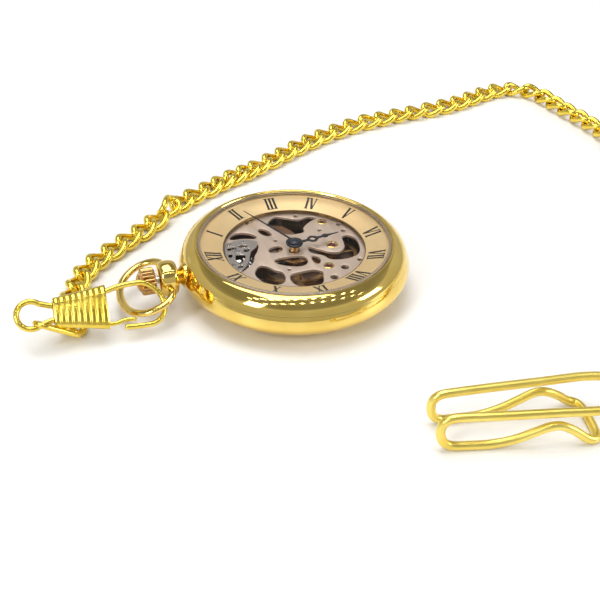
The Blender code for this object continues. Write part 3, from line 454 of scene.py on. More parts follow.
def flat_mesh(name, loops, levels, bevel=0.05, steps=1):
    """A flat plate with openings and softened edges, its outline kept at its size."""
    curve = bpy.data.curves.new(name, "CURVE")
    curve.dimensions = "2D"
    curve.fill_mode = "BOTH"
    for loop in loops:
        spline = curve.splines.new("POLY")
        spline.points.add(len(loop) - 1)
        for point, (x, y) in zip(spline.points, loop):
            point.co = (x * MM, y * MM, 0.0, 1.0)
        spline.use_cyclic_u = True
    half = (levels[1] - levels[0]) / 2
    curve.bevel_depth = bevel * MM
    curve.bevel_resolution = steps
    curve.extrude = (half - bevel) * MM
    curve.offset = -bevel * MM
    holder = bpy.data.objects.new(name, curve)
    SCENE.collection.objects.link(holder)
    bpy.context.view_layer.update()
    mesh = bpy.data.meshes.new_from_object(holder.evaluated_get(bpy.context.evaluated_depsgraph_get()))
    bpy.data.objects.remove(holder)
    bpy.data.curves.remove(curve)
    work = bmesh.new()
    work.from_mesh(mesh)
    bmesh.ops.remove_doubles(work, verts=work.verts, dist=0.0000002)
    bmesh.ops.translate(work, verts=work.verts, vec=(0.0, 0.0, sum(levels) / 2 * MM))
    bmesh.ops.recalc_face_normals(work, faces=work.faces)
    work.to_mesh(mesh)
    work.free()
    mesh.name = name
    shade(mesh, 50.0)
    return mesh


def circle(radius, count, centre=(0.0, 0.0)):
    turns = [2 * math.pi * i / count for i in range(count)]
    return [(centre[0] + radius * math.cos(a), centre[1] + radius * math.sin(a)) for a in turns]


def joined(name, meshes):
    """One mesh from several."""
    work = bmesh.new()
    for mesh in meshes:
        work.from_mesh(mesh)
    whole = bpy.data.meshes.new(name)
    work.to_mesh(whole)
    work.free()
    shade(whole, 40.0)
    return whole


# ---------------------------------------------------------------- chain, first, because of its room

CHAIN_ROUTE = (
    (-3.5, 45.5), (4.0, 45.0), (10.3, 42.8), (14.6, 40.4), (18.2, 37.0),
    (21.5, 33.1), (24.6, 29.1), (27.8, 25.1), (31.2, 21.4), (34.8, 17.6), (37.8, 13.2),
    (40.2, 9.2), (42.0, 6.0), (44.2, 1.8), (46.8, -3.9), (50.2, -9.9), (53.9, -16.2),
    (57.5, -22.7), (60.4, -29.1), (62.6, -35.3), (64.1, -41.4), (65.1, -47.4), (65.9, -53.4),
    (66.4, -59.4), (67.6, -66.0), (69.9, -73.0), (72.3, -80.0), (72.4, -86.2), (69.6, -90.6),
    (64.8, -92.8), (59.6, -93.9), (54.3, -95.0), (48.6, -96.3), (42.3, -97.2), (31.0, -98.2),
    (20.0, -97.4), (9.0, -94.4), (-3.0, -89.2), (-14.0, -82.8), (-25.0, -76.0), (-35.0, -68.8),
    (-44.0, -62.4), (-51.0, -58.6), (-56.0, -56.0), (-58.5, -52.7),
)
CHAIN_Z = 1.25
LINK_PITCH = 4.75
LINK_HALF_LENGTH = 3.0
LINK_HALF_WIDTH = 1.95
LINK_WIRE = 0.72
LINK_TWIST = math.radians(-50.0)
LINK_LIFT = 0.3
FIRST_LINK_AT = 0.6
BUNCHED_FROM, BUNCHED_TO, BUNCHED_PITCH = 61.0, 76.0, 3.9
STANDING_LINK, STANDING_ROLL, STANDING_LIFT = 10, math.radians(74.0), 1.25


def link_centreline(count=36):
    """A curb link: an oval whose two ends are turned opposite ways about its length."""
    points = []
    for i in range(count):
        t = 2 * math.pi * i / count
        c, s = math.cos(t), math.sin(t)
        x = LINK_HALF_LENGTH * math.copysign(abs(c) ** 0.9, c)
        y = LINK_HALF_WIDTH * math.copysign(abs(s) ** 0.85, s)
        twist = LINK_TWIST * x / LINK_HALF_LENGTH
        points.append(Vector((x, y * math.cos(twist), y * math.sin(twist))))
    return points


def walk(points, start, pitch_at):
    """(place, direction) of each link along a path, pitch_at(reach) apart."""
    lengths = [0.0]
    for a, b in zip(points, points[1:]):
        lengths.append(lengths[-1] + (b - a).length)
    spots = []
    reach = start
    while reach < lengths[-1]:
        i = max(k for k, value in enumerate(lengths) if value <= reach)
        i = min(i, len(points) - 2)
        share = (reach - lengths[i]) / (lengths[i + 1] - lengths[i])
        spot = points[i].lerp(points[i + 1], share)
        spots.append((spot, (points[i + 1] - points[i]).normalized()))
        reach += pitch_at(reach)
    return spots


def make_chain():
    """The curb chain as one mesh, with its route and its length."""
    route = smooth([(x, y, CHAIN_Z) for x, y in CHAIN_ROUTE], 6)
    length = sum((b - a).length for a, b in zip(route, route[1:]))

    def pitch_at(reach):
        return BUNCHED_PITCH if BUNCHED_FROM < reach < BUNCHED_TO else LINK_PITCH

    line = link_centreline()
    verts, faces = [], []
    for number, (spot, heading) in enumerate(walk(route, FIRST_LINK_AT, pitch_at)):
        side = Vector((0, 0, 1)).cross(heading).normalized()
        roll = math.radians(RANDOM.uniform(-7.0, 7.0))
        lift = LINK_LIFT
        if number == STANDING_LINK:
            roll = STANDING_ROLL
            lift = STANDING_LIFT
        basis = Matrix((heading, side, Vector((0, 0, 1)))).transposed() @ Matrix.Rotation(roll, 3, "X")
        sway = Matrix.Rotation(math.radians(RANDOM.uniform(-4.0, 4.0)), 3, "Z")
        shifted = [spot + Vector((0, 0, lift)) + sway @ (basis @ p) for p in line]
        new_verts, new_faces = tube_geometry(shifted, LINK_WIRE, 12, cyclic=True)
        start = len(verts)
        verts += new_verts
        faces += [tuple(start + i for i in face) for face in new_faces]
    mesh = mesh_from("curb_chain", verts, faces, 80.0)
    return add_object("curb_chain", mesh, CHAIN_GOLD, "case", ("chain",)), route, length


# ---------------------------------------------------------------- clasp, end link and belt clip

CLASP_AT = (-5.83, 53.44, 7.02)
CLASP_TURN = (math.radians(43.0), math.radians(4.0), math.radians(-90.0))
TAIL_WIRE, HOOK_WIRE, GATE_WIRE, END_LINK_WIRE = 0.56, 0.54, 0.42, 0.52
TAIL_RADIUS = 2.65


def clasp_matrix():
    return Matrix.Translation(CLASP_AT) @ Euler(CLASP_TURN).to_matrix().to_4x4()


def make_clasp():
    """The clasp's pieces. Its own X runs from the tail ring to the hook."""
    place = clasp_matrix()

    def placed(flat_points):
        return [place @ Vector((x, y, 0.0)) for x, y in flat_points]

    turns = [math.radians(d) for d in range(52, 309, 8)]
    arc = [(TAIL_RADIUS * math.cos(a), TAIL_RADIUS * math.sin(a)) for a in turns]
    tail = [(4.3, 1.4), (3.5, 1.5), (2.7, 1.75)] + arc + [(2.7, -1.75), (3.5, -1.5), (4.3, -1.4)]
    ring = wire_piece("tail_ring_wire", smooth(placed(tail), 2), TAIL_WIRE, "clasp_tail_ring", WIRE_GOLD)
    hook = [
        (14.0, 3.05), (17.0, 3.85), (19.8, 4.15), (21.8, 4.05), (23.6, 2.9), (24.8, 1.3), (25.2, -0.6),
        (24.7, -2.6), (23.0, -4.0), (20.0, -4.25), (17.4, -4.2),
    ]
    hook_wire = wire_piece("hook_wire", smooth(placed(hook), 8), HOOK_WIRE, "clasp_hook", WIRE_GOLD)
    gate = [(14.3, -3.3), (15.6, -3.3), (17.0, -2.9), (18.4, -2.78), (19.3, -2.9)]
    gate_wire = wire_piece("gate_wire", smooth(placed(gate), 6), GATE_WIRE, "clasp_gate", WIRE_GOLD, "gate")
    return [ring, hook_wire, gate_wire, make_sleeve(place), make_end_link()]


def make_sleeve(place):
    """The sleeve: a flattened cone of folded sheet with nine pressed ribs on each face and a seam below."""
    ribs, per_rib, around = 9, 10, 48
    start, length = 4.2, 10.0
    rows = ribs * per_rib
    verts, faces = [], []
    for i in range(rows + 1):
        share = i / rows
        phase = (share * ribs) % 1.0
        rib = math.sin(math.pi * phase) ** 0.6
        end = min(1.0, share / 0.03, (1.0 - share) / 0.02)
        half_height = 2.9 + 1.6 * share
        half_depth = 1.15 + 0.35 * share
        for k in range(around):
            a = 2 * math.pi * k / around
            c, s = math.cos(a), math.sin(a)
            y = half_height * math.copysign(abs(c) ** 0.62, c)
            z = half_depth * math.copysign(abs(s) ** 0.75, s)
            face = max(0.0, 1.0 - (abs(c) / 0.93) ** 6)
            raised = 0.2 * rib * (0.35 + 0.65 * face)
            seam = -0.18 if abs(y + half_height * 0.93) < half_height * 0.09 and z < 0.4 else 0.0
            outward = Vector((0.0, c / half_height, s / half_depth)).normalized()
            swell = (raised + seam - 0.12) * end - 0.1 * (1 - end)
            spot = Vector((start + length * share, y, z)) + outward * swell
            verts.append(place @ spot)
    for i in range(rows):
        for k in range(around):
            j = (k + 1) % around
            faces.append((i * around + k, i * around + j, (i + 1) * around + j, (i + 1) * around + k))
    for row, inner_at, sign in ((0, start + 0.7, 1), (rows, start + length - 0.9, -1)):
        first = row * around
        inset = len(verts)
        middle = sum((verts[first + k] for k in range(around)), Vector()) / around
        deep = place @ Vector((inner_at, 0.0, 0.0))
        for k in range(around):
            verts.append(middle + (verts[first + k] - middle) * 0.86)
        for k in range(around):
            verts.append(deep + (verts[first + k] - middle) * 0.82)
        verts.append(deep)
        for k in range(around):
            j = (k + 1) % around
            faces.append((first + k, first + j, inset + j, inset + k))
            faces.append((inset + k, inset + j, inset + around + j, inset + around + k))
            faces.append((inset + around + k, inset + around + j, inset + 2 * around))
    mesh = mesh_from("ribbed_sleeve", verts, faces, 55.0)
    return add_object("ribbed_sleeve", mesh, WIRE_GOLD, "case", ("clasp_sleeve",))


def stadium(top, bottom, sideways, half_width, per_end=14):
    """A loop of two half circles joined by straight sides, between two points."""
    top, bottom = Vector(top), Vector(bottom)
    axis = (top - bottom).normalized()
    sideways = Vector(sideways)
    sideways = (sideways - axis * sideways.dot(axis)).normalized()
    points = []
    for end, sign in ((top - axis * half_width, 1), (bottom + axis * half_width, -1)):
        for k in range(per_end + 1):
            a = math.pi * k / per_end
            across = sideways * (sign * half_width * math.cos(a))
            along = axis * (sign * half_width * math.sin(a))
            points.append(end + across + along)
    return points


def make_end_link():
    loop = stadium((-7.5, 52.8, 6.2), (-6.1, 45.3, 0.98), (-0.88, -0.37, 0.3), 1.75)
    return wire_piece("end_link_wire", loop, END_LINK_WIRE, "chain_end_link", WIRE_GOLD, cyclic=True)


CLIP_WIRE, JUMP_WIRE = 0.82, 0.45
CLIP_RING_AT, CLIP_RING_RADIUS = (40.6, 3.9), 3.4
CLIP_AT = (-51.6, -8.9)
CLIP_HEADING = (-0.16, -0.987)


def clip_point(along, across, height):
    """A point of the clip, from its lengths along and across the clip's heading."""
    tx, ty = CLIP_HEADING
    return Vector((CLIP_AT[0] + along * tx - across * ty, CLIP_AT[1] + along * ty + across * tx, height))


def make_belt_clip():
    low, top = CLIP_WIRE + 0.03, 7.0
    side = [
        (38.7, 0.9, 5.25), (37.8, 1.75, 5.6), (36.2, 2.6, 6.2), (33.6, 3.8, 6.8), (28.0, 4.6, top),
        (20.0, 4.2, top), (10.0, 3.7, top), (4.0, 3.3, top), (1.6, 3.2, top - 0.2), (0.3, 3.2, top - 1.2),
        (0.0, 3.25, 4.0),
        (0.6, 3.3, 2.0), (2.2, 3.4, 0.95), (5.0, 3.6, low), (9.0, 3.8, 0.85), (13.0, 4.1, 1.7),
        (16.2, 4.3, 3.1), (19.0, 4.5, 4.3), (21.2, 4.6, 4.2), (23.6, 4.9, 2.9), (25.6, 5.1, 1.4),
        (27.2, 4.9, low), (27.9, 3.6, low), (28.1, 1.6, low),
    ]
    loop = side + [(a, -b, c) for a, b, c in side[::-1]] + [(38.95, 0.0, 5.2)]
    points = smooth([clip_point(*p) for p in loop], 4, closed=True)
    clip = wire_piece("belt_clip_wire", points, CLIP_WIRE, "belt_clip", SATIN_GOLD, cyclic=True)
    ring = [clip_point(along, 0.0, up) for along, up in circle(CLIP_RING_RADIUS, 48, CLIP_RING_AT)]
    jump = wire_piece("clip_ring_wire", ring, JUMP_WIRE, "clip_ring", WIRE_GOLD, cyclic=True)
    return [clip, jump]


# ---------------------------------------------------------------- case


def rounded(points, per_span=5):
    """A smooth profile through (radius, height) points."""
    return [(p.x, p.y) for p in smooth(points, per_span)]


BORE_RADIUS = 19.35


def make_case():
    """Bezel, middle and back, each a turned ring with a given outer profile."""
    front = rounded(
        [(19.72, 10.75), (19.95, 10.98), (20.5, 10.85), (21.5, 10.15), (22.35, 9.2), (22.87, 8.05)]
    )
    inner = [(BORE_RADIUS, 8.05), (BORE_RADIUS, 10.3), (19.55, 10.4), (19.6, 10.7)]
    lathe_piece("bezel_ring", front + inner, GOLD, "case", ("bezel",))
    side = rounded([(22.88, 7.99), (23.27, 6.9), (23.4, 5.8), (23.1, 4.7), (22.3, 3.6), (21.02, 2.58)])
    inner = [(BORE_RADIUS, 2.58), (BORE_RADIUS, 7.99)]
    lathe_piece("case_middle", side + inner, GOLD, "case", ("case_band",))
    under = rounded([(20.95, 2.52), (19.4, 1.5), (18.1, 0.65), (17.2, 0.12), (16.5, 0.0)])
    inner = [(15.45, 0.0), (15.32, 0.12), (15.3, 1.15), (14.2, 1.15), (14.2, 1.7), (19.2, 2.5)]
    lathe_piece("back_lid", under + inner, GOLD, "case", ("case_back",))


def dome(radius, rim_z, top_z, count):
    """A flat-topped dome's profile, from the axis out to its rim."""
    return [
        (radius * i / count, top_z - (top_z - rim_z) * (i / count) ** 2.4)
        for i in range(count + 1)
    ]


def make_crystal():
    outer = dome(18.9, 11.02, 12.2, 14)
    inner = dome(18.7, 10.5, 11.3, 10)
    profile = outer + [(18.95, 10.5)] + inner[::-1]
    lathe_piece("crystal_dome", profile, CRYSTAL, "case", ("crystal",))
    rim = [(18.97, 11.0), (19.3, 10.98), (19.5, 10.85), (19.52, 10.45), (18.97, 10.42)]
    lathe_piece("crystal_rim", rim, CRYSTAL_EDGE, "case")


# ---------------------------------------------------------------- dial

DIAL_INNER, DIAL_SEAT, DIAL_OUTER = 14.5, 18.55, 19.2
DIAL_LOW, DIAL_HIGH = 9.3, 10.25
DIAL_STEPS = 180


def dial_height(radius):
    """The height of the dial's dished face."""
    share = (radius - DIAL_INNER) / (DIAL_SEAT - DIAL_INNER)
    return DIAL_LOW + (DIAL_HIGH - DIAL_LOW) * min(max(share, 0.0), 1.0)


def make_dial():
    profile = [
        (14.42, 8.95), (14.42, 9.22), (14.5, 9.3), (14.62, dial_height(14.62)), (16.5, dial_height(16.5)),
        (18.4, dial_height(18.4)), (18.6, 10.2), (18.66, 10.27), (DIAL_OUTER, 10.27), (DIAL_OUTER, 9.85),
        (18.6, 9.85),
    ]
    lathe_piece("dial_face", profile, DIAL, "case", ("dial_ring",), DIAL_STEPS, angle=20.0)
    # A thin dark ring under the dial's inner edge: a painted shadow line where the opening's wall is in
    # shade.
    wall = [(14.41, 8.86), (14.41, 9.24), (14.3, 9.24), (14.3, 8.86)]
    lathe_piece("dial_inner_wall", wall, RIM_PAINTED_SHADE, "case", steps=DIAL_STEPS)


NUMERALS = ("XII", "I", "II", "III", "IV", "V", "VI", "VII", "VIII", "IX", "X", "XI")
STROKE_WIDE, STROKE_FINE = 0.48, 0.24
NUMERAL_FOOT, NUMERAL_TOP = 15.0, 18.35
SERIF = 0.2
INK_LIFT, INK_SINK = 0.018, -0.03
LETTER_GAP = 0.1


def glyph(letter):
    """One letter's strokes as (x at foot, x at top, width), its width, and its foot and top serifs."""
    if letter == "I":
        return [(0.36, 0.36, STROKE_WIDE)], 0.72, [(0.0, 0.72)], [(0.0, 0.72)]
    if letter == "V":
        return [(0.78, 0.22, STROKE_WIDE), (0.84, 1.4, STROKE_FINE)], 1.6, [], [(-0.06, 0.5), (1.1, 1.66)]
    strokes = [(1.36, 0.26, STROKE_WIDE), (0.26, 1.36, STROKE_FINE)]
    return strokes, 1.62, [(0.0, 0.52), (1.08, 1.62)], [(0.0, 0.52), (1.08, 1.62)]


def make_numerals():
    verts, faces = [], []

    def patch(corners, hour):
        """A thin block over the dial from (across, radius) corners."""
        turn = math.pi / 2 - hour * math.pi / 6
        start = len(verts)
        for height in (INK_SINK, INK_LIFT):
            for across, radius in corners:
                out = Vector((math.cos(turn), math.sin(turn)))
                right = Vector((math.sin(turn), -math.cos(turn)))
                spot = out * radius + right * across
                verts.append((spot.x, spot.y, dial_height(spot.length) + height))
        count = len(corners)
        faces.append(tuple(start + count + i for i in range(count)))
        faces.append(tuple(start + i for i in reversed(range(count))))
        for i in range(count):
            j = (i + 1) % count
            faces.append((start + i, start + j, start + count + j, start + count + i))

    for hour, numeral in enumerate(NUMERALS):
        letters = [glyph(letter) for letter in numeral]
        width = sum(entry[1] for entry in letters) + LETTER_GAP * (len(letters) - 1)
        x = -width / 2
        for strokes, wide, feet, tops in letters:
            for foot_x, top_x, stroke in strokes:
                half = stroke / 2
                patch(
                    [(x + foot_x - half, NUMERAL_FOOT), (x + foot_x + half, NUMERAL_FOOT),
                     (x + top_x + half, NUMERAL_TOP), (x + top_x - half, NUMERAL_TOP)], hour,
                )
            for radius, serifs in ((NUMERAL_FOOT, feet), (NUMERAL_TOP - SERIF, tops)):
                for left, right in serifs:
                    low, high = radius, radius + SERIF
                    patch([(x + left, low), (x + right, low), (x + right, high), (x + left, high)], hour)
            x += wide + LETTER_GAP
    mesh = mesh_from("hour_numerals", verts, faces, 30.0)
    add_object("hour_numerals", mesh, INK, "case")


# ---------------------------------------------------------------- skeleton plate and what shows through it

THIRD = (-7.2, -4.9)
FOURTH = (0.0, -8.1)
BALANCE = (9.0, -9.0)
ESCAPE = (4.5, -12.1)
PLATE_BOTTOM, PLATE_TOP = 7.7, 8.3
PLATE_RADIUS = 16.75


def plate_openings():
    """The skeleton plate's openings, each a smooth closed loop."""
    shapes = (
        ((11.6, 2.2), (13.8, 0.0), (12.6, -2.4), (11.4, -4.5), (11.9, -6.8), (10.9, -8.3), (9.7, -6.4),
         (7.9, -4.5), (6.2, -4.0), (6.0, -1.2), (7.2, 0.6), (9.6, 1.4)),
        ((9.7, 9.6), (9.0, 7.2), (7.3, 5.9), (6.5, 6.6), (7.1, 8.6), (7.4, 11.2), (8.6, 11.2)),
        ((5.2, 13.2), (5.9, 10.5), (5.4, 7.6), (4.0, 6.5), (1.8, 7.3), (0.2, 8.3), (-1.6, 9.0),
         (-3.4, 10.6), (-4.6, 12.6), (-2.6, 13.7), (1.5, 13.9)),
        ((9.7, 4.9), (9.9, 3.9), (8.6, 2.9), (7.0, 2.7), (6.8, 3.8), (8.2, 4.8)),
        ((2.2, -11.0), (2.6, -12.4), (0.8, -13.6), (-2.6, -13.2), (-5.0, -11.8), (-5.8, -9.0),
         (-5.2, -6.2), (-3.2, -4.9), (-1.7, -3.0), (0.4, -3.1), (-0.8, -4.9), (-2.2, -6.4),
         (-3.0, -8.4), (-1.8, -10.1), (0.3, -10.7)),
        ((-3.6, 8.6), (-3.9, 7.1), (-5.6, 6.0), (-6.8, 4.7), (-8.8, 4.6), (-10.6, 5.6),
         (-10.6, 7.6), (-8.8, 9.4), (-6.0, 10.0)),
        ((-8.0, 3.0), (-7.7, 0.6), (-7.7, -1.6), (-8.8, -3.0), (-10.6, -2.6), (-12.6, -1.8),
         (-13.3, 0.4), (-12.7, 2.6), (-11.0, 3.8), (-9.2, 3.8)),
        ((-2.2, 4.8), (-1.8, 2.8), (-1.9, 0.6), (-2.4, -1.1), (-4.2, -1.5), (-5.6, -0.6),
         (-5.8, 1.2), (-4.8, 3.4), (-3.6, 4.8)),
        ((-3.0, -2.7), (-2.9, -3.4), (-4.2, -4.1), (-5.7, -3.6), (-5.9, -2.7), (-4.4, -2.4)),
        ((1.6, 5.0), (2.5, 3.6), (2.4, 2.2), (1.1, 2.1), (0.2, 3.2), (0.5, 4.8)),
    )
    return [[(p.x, p.y) for p in smooth(shape, 5, closed=True)] for shape in shapes]


PLATE_HOLES = (
    (0.0, 0.0, 1.1), (*FOURTH, 0.8), (*THIRD, 0.75), (*BALANCE, 0.65), (*ESCAPE, 0.5),
    (12.9, -4.4, 0.45), (7.1, -12.0, 0.5), (6.0, -7.4, 0.45), (4.6, 2.6, 0.4),
    (-6.4, 3.1, 0.4), (-8.6, -7.8, 0.8), (-11.4, -4.6, 0.8), (-6.9, -11.6, 0.5), (12.9, 6.4, 0.5),
)
PLATE_SCREWS = (
    (-12.9, 5.6, 0.75), (-4.6, -14.6, 0.7), (14.6, 4.2, 0.7),
    (-14.0, -5.0, 0.6), (3.2, 15.3, 0.7), (13.5, -8.0, 0.6),
)


def make_plate():
    holes = [circle(radius, 28, (x, y)) for x, y, radius in PLATE_HOLES]
    loops = [circle(PLATE_RADIUS, 144)] + plate_openings() + holes
    mesh = flat_mesh("skeleton_plate", loops, (PLATE_BOTTOM, PLATE_TOP), 0.09, 2)
    add_object("skeleton_plate", mesh, ROSE, "case", ("main_plate",))
    jewels = []
    for centre, radius in ((THIRD, 0.62), (FOURTH, 0.67), (BALANCE, 0.53)):
        profile = [
            (radius, 8.22), (radius - 0.08, 8.28), (0.3, 8.2), (0.2, 8.1), (0.2, 7.86), (radius, 7.86),
        ]
        jewels.append(lathe_mesh("jewel", profile, 32, Matrix.Translation((*centre, 0.0))))
    add_object(
        "plate_jewels", joined("plate_jewels", jewels), RUBY, "case",
        ("third_wheel_jewel", "fourth_wheel_jewel", "balance_jewel"),
    )
    rings = []
    for x, y, radius in ((*FOURTH, 1.25), (*THIRD, 1.1), (*BALANCE, 1.0)):
        profile = [
            (radius, PLATE_TOP), (radius, 8.36), (radius - 0.07, 8.4), (radius - 0.3, 8.4),
            (radius - 0.36, 8.34), (radius - 0.36, PLATE_TOP),
        ]
        rings.append(lathe_mesh("setting", profile, 40, Matrix.Translation((x, y, 0.0))))
    add_object("jewel_settings", joined("jewel_settings", rings), GOLD, "case")
    screws = [slotted_screw(x, y, radius, PLATE_TOP) for x, y, radius in PLATE_SCREWS]
    add_object("plate_screws", joined("plate_screws", screws), STEEL, "case")


def slotted_screw(x, y, radius, level, height=0.16):
    """A polished flat-headed screw whose straight slot points anywhere."""
    turn = RANDOM.uniform(0.0, math.pi)
    half = radius * 0.14
    segments = 20
    verts, faces = [], []
    for sign in (-1, 1):
        start_angle = math.asin(half / radius)
        arc = [start_angle + (math.pi - 2 * start_angle) * i / segments for i in range(segments + 1)]
        outline = [(radius * math.cos(a), sign * radius * math.sin(a)) for a in arc]
        start = len(verts)
        count = len(outline)
        for lift, shrink in ((0.0, 1.0), (height * 0.7, 1.0), (height, 0.93)):
            for px, py in outline:
                px, py = px * shrink, sign * max(half, sign * py * shrink)
                spot = (
                    x + px * math.cos(turn) - py * math.sin(turn),
                    y + px * math.sin(turn) + py * math.cos(turn),
                    level + lift,
                )
                verts.append(spot)
        for ring in (0, 1):
            for i in range(count):
                j = (i + 1) % count
                a = start + ring * count
                faces.append((a + i, a + j, a + count + j, a + count + i))
        faces.append(tuple(start + 2 * count + i for i in range(count)))
        faces.append(tuple(start + i for i in range(count)))
    floor_start = len(verts)
    for i in range(24):
        a = 2 * math.pi * i / 24
        verts.append((x + radius * 0.98 * math.cos(a), y + radius * 0.98 * math.sin(a), level + 0.03))
    faces.append(tuple(floor_start + i for i in range(24)))
    return mesh_from("screw", verts, faces, 30.0)


COVER_BOTTOM, COVER_TOP = 8.36, 8.6
COVER_SCREWS = ((5.3, 12.2, 0.5), (-2.3, 13.3, 0.4), (2.4, 11.3, 0.6), (5.4, 9.2, 0.4))


def make_keyless():
    """The steel cover over the winding and setting works, with its screws."""
    cover = [(6.2, 11.4), (6.4, 9.0), (5.0, 6.6), (3.2, 7.0), (1.6, 8.6), (-0.6, 9.6), (-3.0, 10.8),
             (-4.9, 12.9), (-2.8, 14.0), (2.4, 13.9), (5.0, 13.2)]
    slots = [
        [(0.6, 10.2), (1.2, 11.8), (-0.6, 12.4), (-2.2, 12.0), (-1.0, 10.8)],
        [(3.6, 8.8), (4.6, 9.4), (4.4, 10.6), (3.4, 10.2)],
        [(3.3, 11.3), (4.2, 11.5), (3.9, 13.0), (3.1, 12.9)],
        [(-3.6, 11.9), (-2.9, 11.6), (-2.7, 12.2), (-3.6, 12.9)],
        [(0.6, 12.9), (1.6, 12.6), (1.7, 13.3), (0.7, 13.5)],
        [(1.7, 9.3), (2.6, 8.5), (3.0, 9.3), (2.1, 10.1)],
    ]
    loops = [[(p.x, p.y) for p in smooth(loop, 6, closed=True)] for loop in [cover] + slots]
    mesh = flat_mesh("setting_cover", loops, (COVER_BOTTOM, COVER_TOP), 0.05, 2)
    add_object("setting_cover", mesh, COVER, "case", ("keyless_cover",))
    screws = [slotted_screw(x, y, radius, COVER_TOP, 0.12) for x, y, radius in COVER_SCREWS]
    add_object("cover_screws", joined("cover_screws", screws), STEEL, "case")


# ---------------------------------------------------------------- hands


HOUR_HAND_AT, MINUTE_HAND_AT = math.radians(170.65), math.radians(65.0)
HAND_BEVEL = 0.03


def turned_loops(loops, angle):
    """Loops whose +X points at an angle measured clockwise from 12 o'clock."""
    a = math.pi / 2 - angle
    c, s = math.cos(a), math.sin(a)
    return [[(x * c - y * s, x * s + y * c) for x, y in loop] for loop in loops]


def ring_and_blade(radius, blade):
    """A hub's circle that opens into a blade of (distance, half width) points."""
    half = blade[0][1]
    opening = math.asin(half / radius)
    count = 36
    arc = [
        (radius * math.cos(a), radius * math.sin(a))
        for a in [opening + (2 * math.pi - 2 * opening) * i / count for i in range(count + 1)]
    ]
    return arc + [(x, -w) for x, w in blade] + [(x, w) for x, w in blade[::-1]]


def make_hands():
    blade = [
        (2.3, 0.3), (2.9, 0.32), (3.4, 0.8), (4.1, 1.15), (4.8, 0.85), (5.4, 0.34),
        (6.2, 0.24), (6.7, 0.55), (7.2, 0.62), (7.7, 0.3), (8.6, 0.14), (10.15, 0.05),
    ]
    eye = [(3.5, 0.0), (3.9, -0.5), (4.3, -0.55), (4.8, 0.0), (4.3, 0.55), (3.9, 0.5)]
    loops = turned_loops([ring_and_blade(1.65, blade), circle(1.0, 32), eye], HOUR_HAND_AT)
    mesh = flat_mesh("hour_hand_blade", loops, (9.85, 10.05), HAND_BEVEL)
    add_object("hour_hand_blade", mesh, BLACK, "hour_pipe", ("hour_hand",))
    blade = [(2.4, 0.22), (6.0, 0.2), (12.0, 0.13), (15.8, 0.06)]
    loops = turned_loops([ring_and_blade(1.3, blade), circle(0.6, 24)], MINUTE_HAND_AT)
    mesh = flat_mesh("minute_hand_blade", loops, (10.45, 10.6), HAND_BEVEL)
    add_object("minute_hand_blade", mesh, BLACK, "center_arbor", ("minute_hand",))
    cap = [(0.0, 10.86), (0.3, 10.84), (0.7, 10.74), (0.95, 10.62), (0.95, 10.58), (0.0, 10.58)]
    lathe_piece("hand_cap", cap, BLUE_BLACK, "center_arbor", steps=32)
    boss = [(1.55, 10.04), (1.75, 10.12), (1.75, 10.3), (1.5, 10.38), (1.05, 10.38), (1.05, 10.04)]
    lathe_piece("hour_hand_boss", boss, BLUE_BLACK, "hour_pipe", steps=40)


# ---------------------------------------------------------------- pendant, crown and bow


STEM_HEIGHT = 6.5
ALONG_STEM = Matrix.Translation((0.0, 0.0, STEM_HEIGHT)) @ Matrix.Rotation(-math.pi / 2, 4, "X")
PENDANT_STEPS = 64


def make_pendant():
    """Neck, collar, crown and bow. Profiles are (radius, distance along the stem)."""
    neck = rounded([(2.55, 22.6), (2.5, 23.1), (1.95, 23.55), (1.47, 23.95), (1.66, 24.28)])
    profile = neck + [(0.85, 24.3), (0.85, 20.0), (2.55, 20.0)]
    lathe_piece(
        "pendant_neck_turned", profile, GOLD, "case", ("pendant_neck",),
        PENDANT_STEPS, ALONG_STEM,
    )
    collar = rounded(
        [(2.5, 24.42), (3.1, 24.6), (3.45, 25.2), (3.58, 26.25), (3.48, 27.25), (3.15, 27.85), (2.6, 28.1)],
        4,
    )
    profile = collar + [(0.9, 28.1), (0.9, 24.42)]
    lathe_piece(
        "pendant_collar_turned", profile, GOLD, "case", ("pendant_collar",),
        PENDANT_STEPS, ALONG_STEM,
    )
    make_crown()
    make_bow()


def make_crown():
    """A fluted crown with a stepped dome. Its rows are (distance, radius, depth of the flutes)."""
    flutes, per = 20, 6
    around = flutes * per
    rows = [
        (28.8, 2.3, 0.0), (28.9, 2.62, 0.5), (29.15, 2.7, 1.0), (31.2, 2.7, 1.0), (31.5, 2.6, 0.7),
        (31.65, 2.3, 0.0), (31.7, 2.0, 0.0), (32.05, 1.72, 0.0), (32.35, 1.1, 0.0), (32.5, 0.4, 0.0),
    ]
    verts, faces = [], []
    for along, radius, depth in rows:
        for k in range(around):
            a = 2 * math.pi * k / around
            groove = (0.5 - 0.5 * math.cos(2 * math.pi * k / per)) ** 1.5
            r = radius - 0.34 * depth * groove
            verts.append(ALONG_STEM @ Vector((r * math.cos(a), r * math.sin(a), along)))
    for i in range(len(rows) - 1):
        for k in range(around):
            j = (k + 1) % around
            faces.append((i * around + k, i * around + j, (i + 1) * around + j, (i + 1) * around + k))
    faces.append(tuple(range(around)))
    faces.append(tuple((len(rows) - 1) * around + k for k in range(around)))
    mesh = mesh_from("fluted_crown", verts, faces, 50.0)
    # The crown's darker gold is painted shade.
    add_object("fluted_crown", mesh, CROWN_GOLD_PAINTED_SHADE, "crown_and_stem", ("crown",))


BOW_PIVOT = 26.5
BOW_TILT = math.radians(20.0)


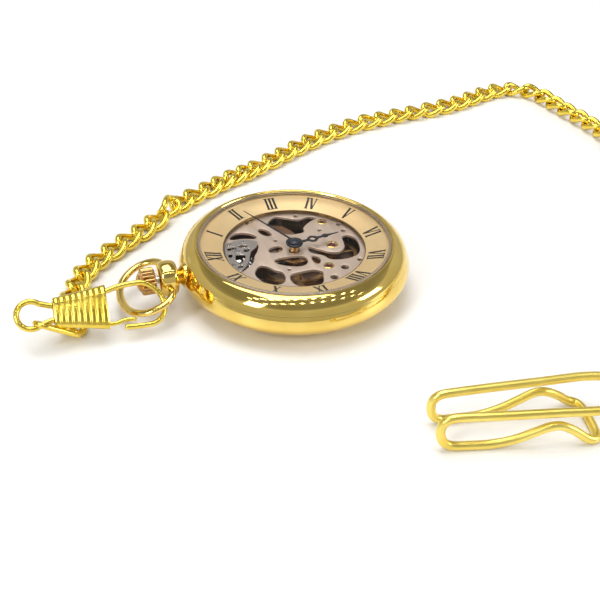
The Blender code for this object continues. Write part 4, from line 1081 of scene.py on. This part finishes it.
def make_bow():
    """The oval bow, thinner where its ends enter the collar, resting tilted towards the table."""
    side = [
        (-2.5, 0.0), (-4.1, -0.1), (-5.7, 0.0), (-7.2, 1.2),
        (-8.0, 3.3), (-7.7, 5.7), (-6.1, 7.9), (-3.5, 9.3),
    ]
    whole = side + [(0.0, 9.8)] + [(-x, y) for x, y in side[::-1]]
    points = [
        Vector((p.x, BOW_PIVOT + p.y * math.cos(BOW_TILT), STEM_HEIGHT - p.y * math.sin(BOW_TILT)))
        for p in smooth(whole, 6)
    ]
    up = Vector((0.0, math.sin(BOW_TILT), math.cos(BOW_TILT)))

    def radius(share):
        return 0.52 + 0.26 * min(1.0, min(share, 1.0 - share) / 0.14)

    wire_piece("bow_wire", points, radius, "bow", GOLD, "bow_body", sides=18, flatten=0.82, up=up)


# ---------------------------------------------------------------- carried-over CAD nodes


def dress_nodes():
    """Gives each carried-over CAD node its material."""
    finishes = {
        # The movement ring takes the dark rim gold: painted shade inside the case.
        "movement_ring": RIM_PAINTED_SHADE, "rear_crystal": CRYSTAL, "barrel_bridge": BRIDGE, "train_bridge": BRIDGE,
        "balance_cock": BRIDGE, "pallet_bridge": BRIDGE, "barrel_drum": COPPER, "barrel_cover": BRASS,
        "center_wheel": BRASS, "third_wheel": BRASS, "fourth_wheel": BRASS, "balance_wheel": BRASS,
        "minute_wheel": STEEL, "hour_wheel": BRASS, "winding_stem": STEEL, "castle_wheel": STEEL,
        "winding_pinion": STEEL, "crown_wheel": STEEL, "ratchet_wheel": STEEL, "barrel_arbor": STEEL,
        "click": STEEL, "escape_wheel": STEEL, "pallet_fork": STEEL, "balance_staff": STEEL,
        "cannon_pinion": DARK, "setting_wheel": STEEL, "click_spring": DARK, "hairspring": DARK,
        "mainspring": DARK, "setting_lever": STEEL, "yoke": STEEL,
    }
    for name, finish in finishes.items():
        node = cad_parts[name]
        node.data.materials.clear()
        node.data.materials.append(finish)


make_camera()
chain, chain_route, chain_length = make_chain()
clasp_pieces = make_clasp()
clip_pieces = make_belt_clip()
make_world()
make_floor()
softbox("top_light", (250, 60, 1100), (800, 800), 7.5)
softbox("left_box", (-410, 690, 570), (240, 380), 2.6)
softbox("right_box", (-430, -820, 400), (420, 220), 2.6)
make_lamp_rows()
make_case()
make_crystal()
make_dial()
make_numerals()
make_plate()
make_keyless()
make_hands()
make_pendant()
dress_nodes()
